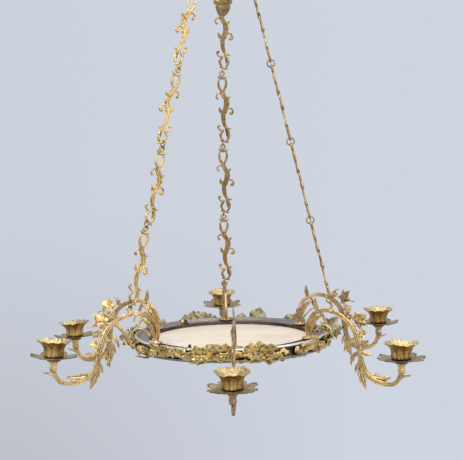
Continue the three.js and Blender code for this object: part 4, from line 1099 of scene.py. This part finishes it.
HANG_RING_RADIUS = 13.0
HANG_RING_WIRE = 2.0
ROD_EYE_RADIUS = 6.0
ROD_EYE_WIRE = 1.8
ROD_RADIUS = 2.5
ROD_NECK_LENGTH = 33.0
CROWN_HUB_RADIUS = 9.0
CROWN_HUB_HEIGHT = 16.0
CROWN_ARM_THICKNESS = 4.0
CROWN_BRACKET_RISE = 7.0
ACORN_RADIUS = 10.0
ACORN_RIM = 12.8
ACORN_LENGTH = 20.0
HANG_RING_CENTRE = -(HANG_RING_RADIUS - HANG_RING_WIRE)
HANG_RING_BOTTOM = HANG_RING_CENTRE - HANG_RING_RADIUS
ROD_EYE_CENTRE = HANG_RING_BOTTOM + HANG_RING_WIRE + ROD_EYE_WIRE + SEAT_GAP - ROD_EYE_RADIUS
CROWN_TOP = ROD_EYE_CENTRE - ROD_EYE_RADIUS - ROD_NECK_LENGTH
CROWN_BOTTOM = CROWN_TOP - CROWN_HUB_HEIGHT
ACORN_TOP = CROWN_BOTTOM - SEAT_GAP


def hanging_ring():
    casting = Casting()
    place = upright(moved(0, 0, HANG_RING_CENTRE))
    casting.loft(torus_rings(HANG_RING_RADIUS, HANG_RING_WIRE, 64, 14), place, looped=True)
    casting.piece("hanging_ring_wire", (BRONZE,), "hanger", "bronze", "hanging_ring")


def eye_rod():
    casting = Casting()
    place = moved(0, 0, ROD_EYE_CENTRE) @ turned(90, "Y")
    casting.loft(torus_rings(ROD_EYE_RADIUS, ROD_EYE_WIRE, 40, 12), place, looped=True)
    top = ROD_EYE_CENTRE - ROD_EYE_RADIUS
    bottom = ACORN_TOP - ACORN_LENGTH * 0.35
    profile = [(0.4, top), (ROD_RADIUS * 0.9, top - 0.2), (ROD_RADIUS * 1.3, top - 2.2),
               (ROD_RADIUS, top - 4), (ROD_RADIUS, bottom), (0.4, bottom)]
    casting.loft(revolved(profile, 24))
    casting.piece("eye_rod_turned", (BRONZE,), "rod", "bronze", "eye_rod")


def crown():
    casting = Casting()
    bore = ROD_RADIUS + 0.9
    foot = [(0.92, 0), (1.0, 1.6), (0.8, 3.6)]
    hub = [(0.74, 7), (0.8, 10), (1.0, CROWN_HUB_HEIGHT - 3), (0.96, CROWN_HUB_HEIGHT - 1),
           (0.8, CROWN_HUB_HEIGHT)]
    profile = [(bore, CROWN_BOTTOM)]
    profile += [(ACORN_RIM * wide, CROWN_BOTTOM + up) for wide, up in foot]
    profile += [(CROWN_HUB_RADIUS * wide, CROWN_BOTTOM + up) for wide, up in hub]
    profile += [(bore, CROWN_TOP)]
    rings = revolved(profile, 64, lobed(amount=0.07, lobes=8, low=0.05, high=0.9))
    casting.loft(np.swapaxes(rings, 0, 1), looped=True)
    for index, settings in enumerate(ARMS):
        if settings["chain"]:
            crown_bracket(casting, index)
    casting.piece("crown_cast", (GILT, PAINTED_GROOVE_SHADE), "lamp", "gilt", "crown")


def crown_bracket(casting, index):
    """Scroll bracket from the hub to the open hook of one chain."""
    hook_top = -CROWN_HOOK_DROP + RING_RADIUS
    plane = upright(turned(arm_angle(index)))
    spine = [(CROWN_HUB_RADIUS * 0.55, between(CROWN_BOTTOM, CROWN_TOP, 0.4)),
             (CROWN_HOOK_RADIUS * 0.42, between(CROWN_BOTTOM, CROWN_TOP, 0.52)),
             (CROWN_HOOK_RADIUS * 0.7, hook_top + CROWN_BRACKET_RISE * 0.9),
             (CROWN_HOOK_RADIUS * 0.9, hook_top + CROWN_BRACKET_RISE),
             (CROWN_HOOK_RADIUS, hook_top - RING_WIRE)]
    strand(casting, plane, spine, (6, 5, 4.4, 3.8, 3.6), (CROWN_ARM_THICKNESS,), 48, RIDGED, 0.03)
    start = (CROWN_HOOK_RADIUS * 0.3, between(CROWN_BOTTOM, CROWN_TOP, 0.5))
    curl = curl_path(start, heading=10, length=26, turn=210)
    strand(casting, plane, curl, (3, 2.6, 1.8), (CROWN_ARM_THICKNESS * 0.7,), 40)
    ball(casting, plane, (*curl[-1], 0), 1.9)
    base = (CROWN_HOOK_RADIUS * 0.4, between(CROWN_BOTTOM, CROWN_TOP, 0.5))
    tip = (CROWN_HOOK_RADIUS * 0.62, between(CROWN_BOTTOM, CROWN_TOP, 1.15))
    leaf(casting, plane, base, tip, width=6, bow=1.5)
    count = 30
    angles = np.radians(np.linspace(90, -200, count))
    hook = np.column_stack([np.zeros(count), np.sin(angles) * RING_RADIUS, np.cos(angles) * RING_RADIUS])
    wire = blunt((RING_WIRE,), count)
    casting.loft(sweep(hook, wire, wire, THIN_ROUND, (1, 0, 0)), chain_place(index, 0.0))


def crown_acorn():
    casting = Casting()
    bore = ROD_RADIUS + 0.4
    shell = ((0.2, 0.96), (0.42, 0.88), (0.74, 0.7), (0.94, 0.5), (1.0, 0.32), (0.97, 0.16))
    rim = ((0.96, 0.12), (1.0, 0.05), (0.96, 0.0))
    profile = [(0.4, -ACORN_LENGTH)]
    profile += [(ACORN_RADIUS * wide, -ACORN_LENGTH * low) for wide, low in shell]
    profile += [(ACORN_RIM * wide, -ACORN_LENGTH * low) for wide, low in rim]
    profile += [(bore, 0.0), (bore, -ACORN_LENGTH * 0.36), (0.4, -ACORN_LENGTH * 0.36)]
    flutes = lobed(amount=0.035, lobes=12, low=0.1, high=0.5)
    casting.loft(revolved(profile, 72, flutes), moved(0, 0, ACORN_TOP))
    casting.piece("acorn_finial", (BRONZE,), "rod", "bronze", "crown_acorn")


def finish_nut(node):
    """A construction nut stays as it is, with its edges broken and an aged finish."""
    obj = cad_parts[node]
    obj.data.materials.clear()
    obj.data.materials.append(BRONZE)
    bevel = obj.modifiers.new("broken_edges", "BEVEL")
    bevel.width = 0.25 * MM
    bevel.segments = 2
    bevel.limit_method = "ANGLE"


# Stage, light and camera

def world_light():
    """Pale wall for the camera and for reflections, plain light for the rest."""
    world = bpy.data.worlds.new("pale_room")
    bpy.context.scene.world = world
    world.use_nodes = True
    tree = world.node_tree
    wall = tree.nodes["Background"]
    split = tree.nodes.new("ShaderNodeSeparateXYZ")
    fill(tree, split, {"Vector": made(tree, "TexCoord", {}, "Generated")})
    sideways = stretched(tree, split.outputs["X"], -0.18, 0.10)
    upward = stretched(tree, split.outputs["Z"], -0.28, -0.06)
    low_left, high_left, right = (0.505, 0.53, 0.59), (0.605, 0.645, 0.715), (0.625, 0.665, 0.745)
    colour = mixed(tree, sideways, mixed(tree, upward, low_left, high_left), right)
    fill(tree, wall, {"Color": colour, "Strength": 1.0})
    light = made(tree, "Background", {"Color": (0.95, 0.97, 1.0, 1.0), "Strength": 0.55}, "Background")
    rays = tree.nodes.new("ShaderNodeLightPath")
    seen = rays.outputs["Is Camera Ray"]
    for name in ("Is Glossy Ray", "Is Transmission Ray"):
        seen = reckoned(tree, "MAXIMUM", seen, rays.outputs[name])
    mix = made(tree, "MixShader", {0: seen, 1: light, 2: wall.outputs["Background"]}, "Shader")
    fill(tree, tree.nodes["World Output"], {"Surface": mix})


def area_light(name, place, aim, size, power):
    lamp = bpy.data.lights.new(name, "AREA")
    lamp.shape = "RECTANGLE"
    lamp.size, lamp.size_y = size
    lamp.energy = power
    obj = new_object(name, lamp)
    obj.location = place
    obj.rotation_euler = (Vector(aim) - Vector(place)).to_track_quat("-Z", "Y").to_euler()


def floor():
    """Round pale floor well below the lamp, fading out before its edge."""
    radius, depth = 2.6, -1.9
    sides = 64
    points = [round_axis(360 * k / sides, radius, depth) for k in range(sides)]
    mesh = bpy.data.meshes.new("pale_floor")
    mesh.from_pydata(points, [], [list(range(sides))])
    material, tree, shader, place = new_material("floor_paint")
    flat = mapped(tree, place, (1.0, 1.0, 0.0))
    length = tree.nodes.new("ShaderNodeVectorMath")
    length.operation = "LENGTH"
    fill(tree, length, {0: flat})
    fade = stretched(tree, length.outputs["Value"], radius * 0.35, radius * 0.95, 1.0, 0.0)
    fill(tree, shader, {"Base Color": (0.62, 0.66, 0.72, 1.0), "Roughness": 0.9, "Alpha": fade})
    mesh.materials.append(material)
    obj = new_object("pale_floor", mesh)


def camera():
    data = bpy.data.cameras.new("photo_camera")
    data.sensor_width = SENSOR_WIDTH
    data.lens = CAMERA_FOCAL / PHOTO_WIDTH * SENSOR_WIDTH
    data.shift_x = CAMERA_SIDE_SHIFT / PHOTO_WIDTH
    obj = new_object("photo_camera", data)
    level = turned(90 - CAMERA_PITCH, "X")
    obj.matrix_world = Matrix.Translation(CAMERA_PLACE) @ level @ turned(CAMERA_ROLL)
    bpy.context.scene.camera = obj


bpy.context.scene.view_settings.view_transform = "Standard"
camera()
world_light()
floor()
area_light("key_window", (-1.1, -1.6, 0.9), (0, 0, -0.45), (1.2, 1.0), 26.0)
area_light("fill_window", (1.5, -1.0, 0.3), (0, 0, -0.45), (1.0, 1.2), 12.0)
area_light("top_panel", (0.2, 0.3, 1.3), (0, 0, -0.5), (1.4, 1.4), 16.0)

hanging_ring()
eye_rod()
crown()
crown_acorn()
finish_nut("crown_nut")
ring_frame()
plate_seat()
centre_plate()
for number in range(len(GARLAND_PLACES)):
    garland(number)
for number, arm in enumerate(ARMS):
    scroll_arm(number)
    finish_nut(f"arm_nut_{arm['place']}")
    drip_pan(number)
    candle_nozzle(number)
    if arm["chain"]:
        chain(number)
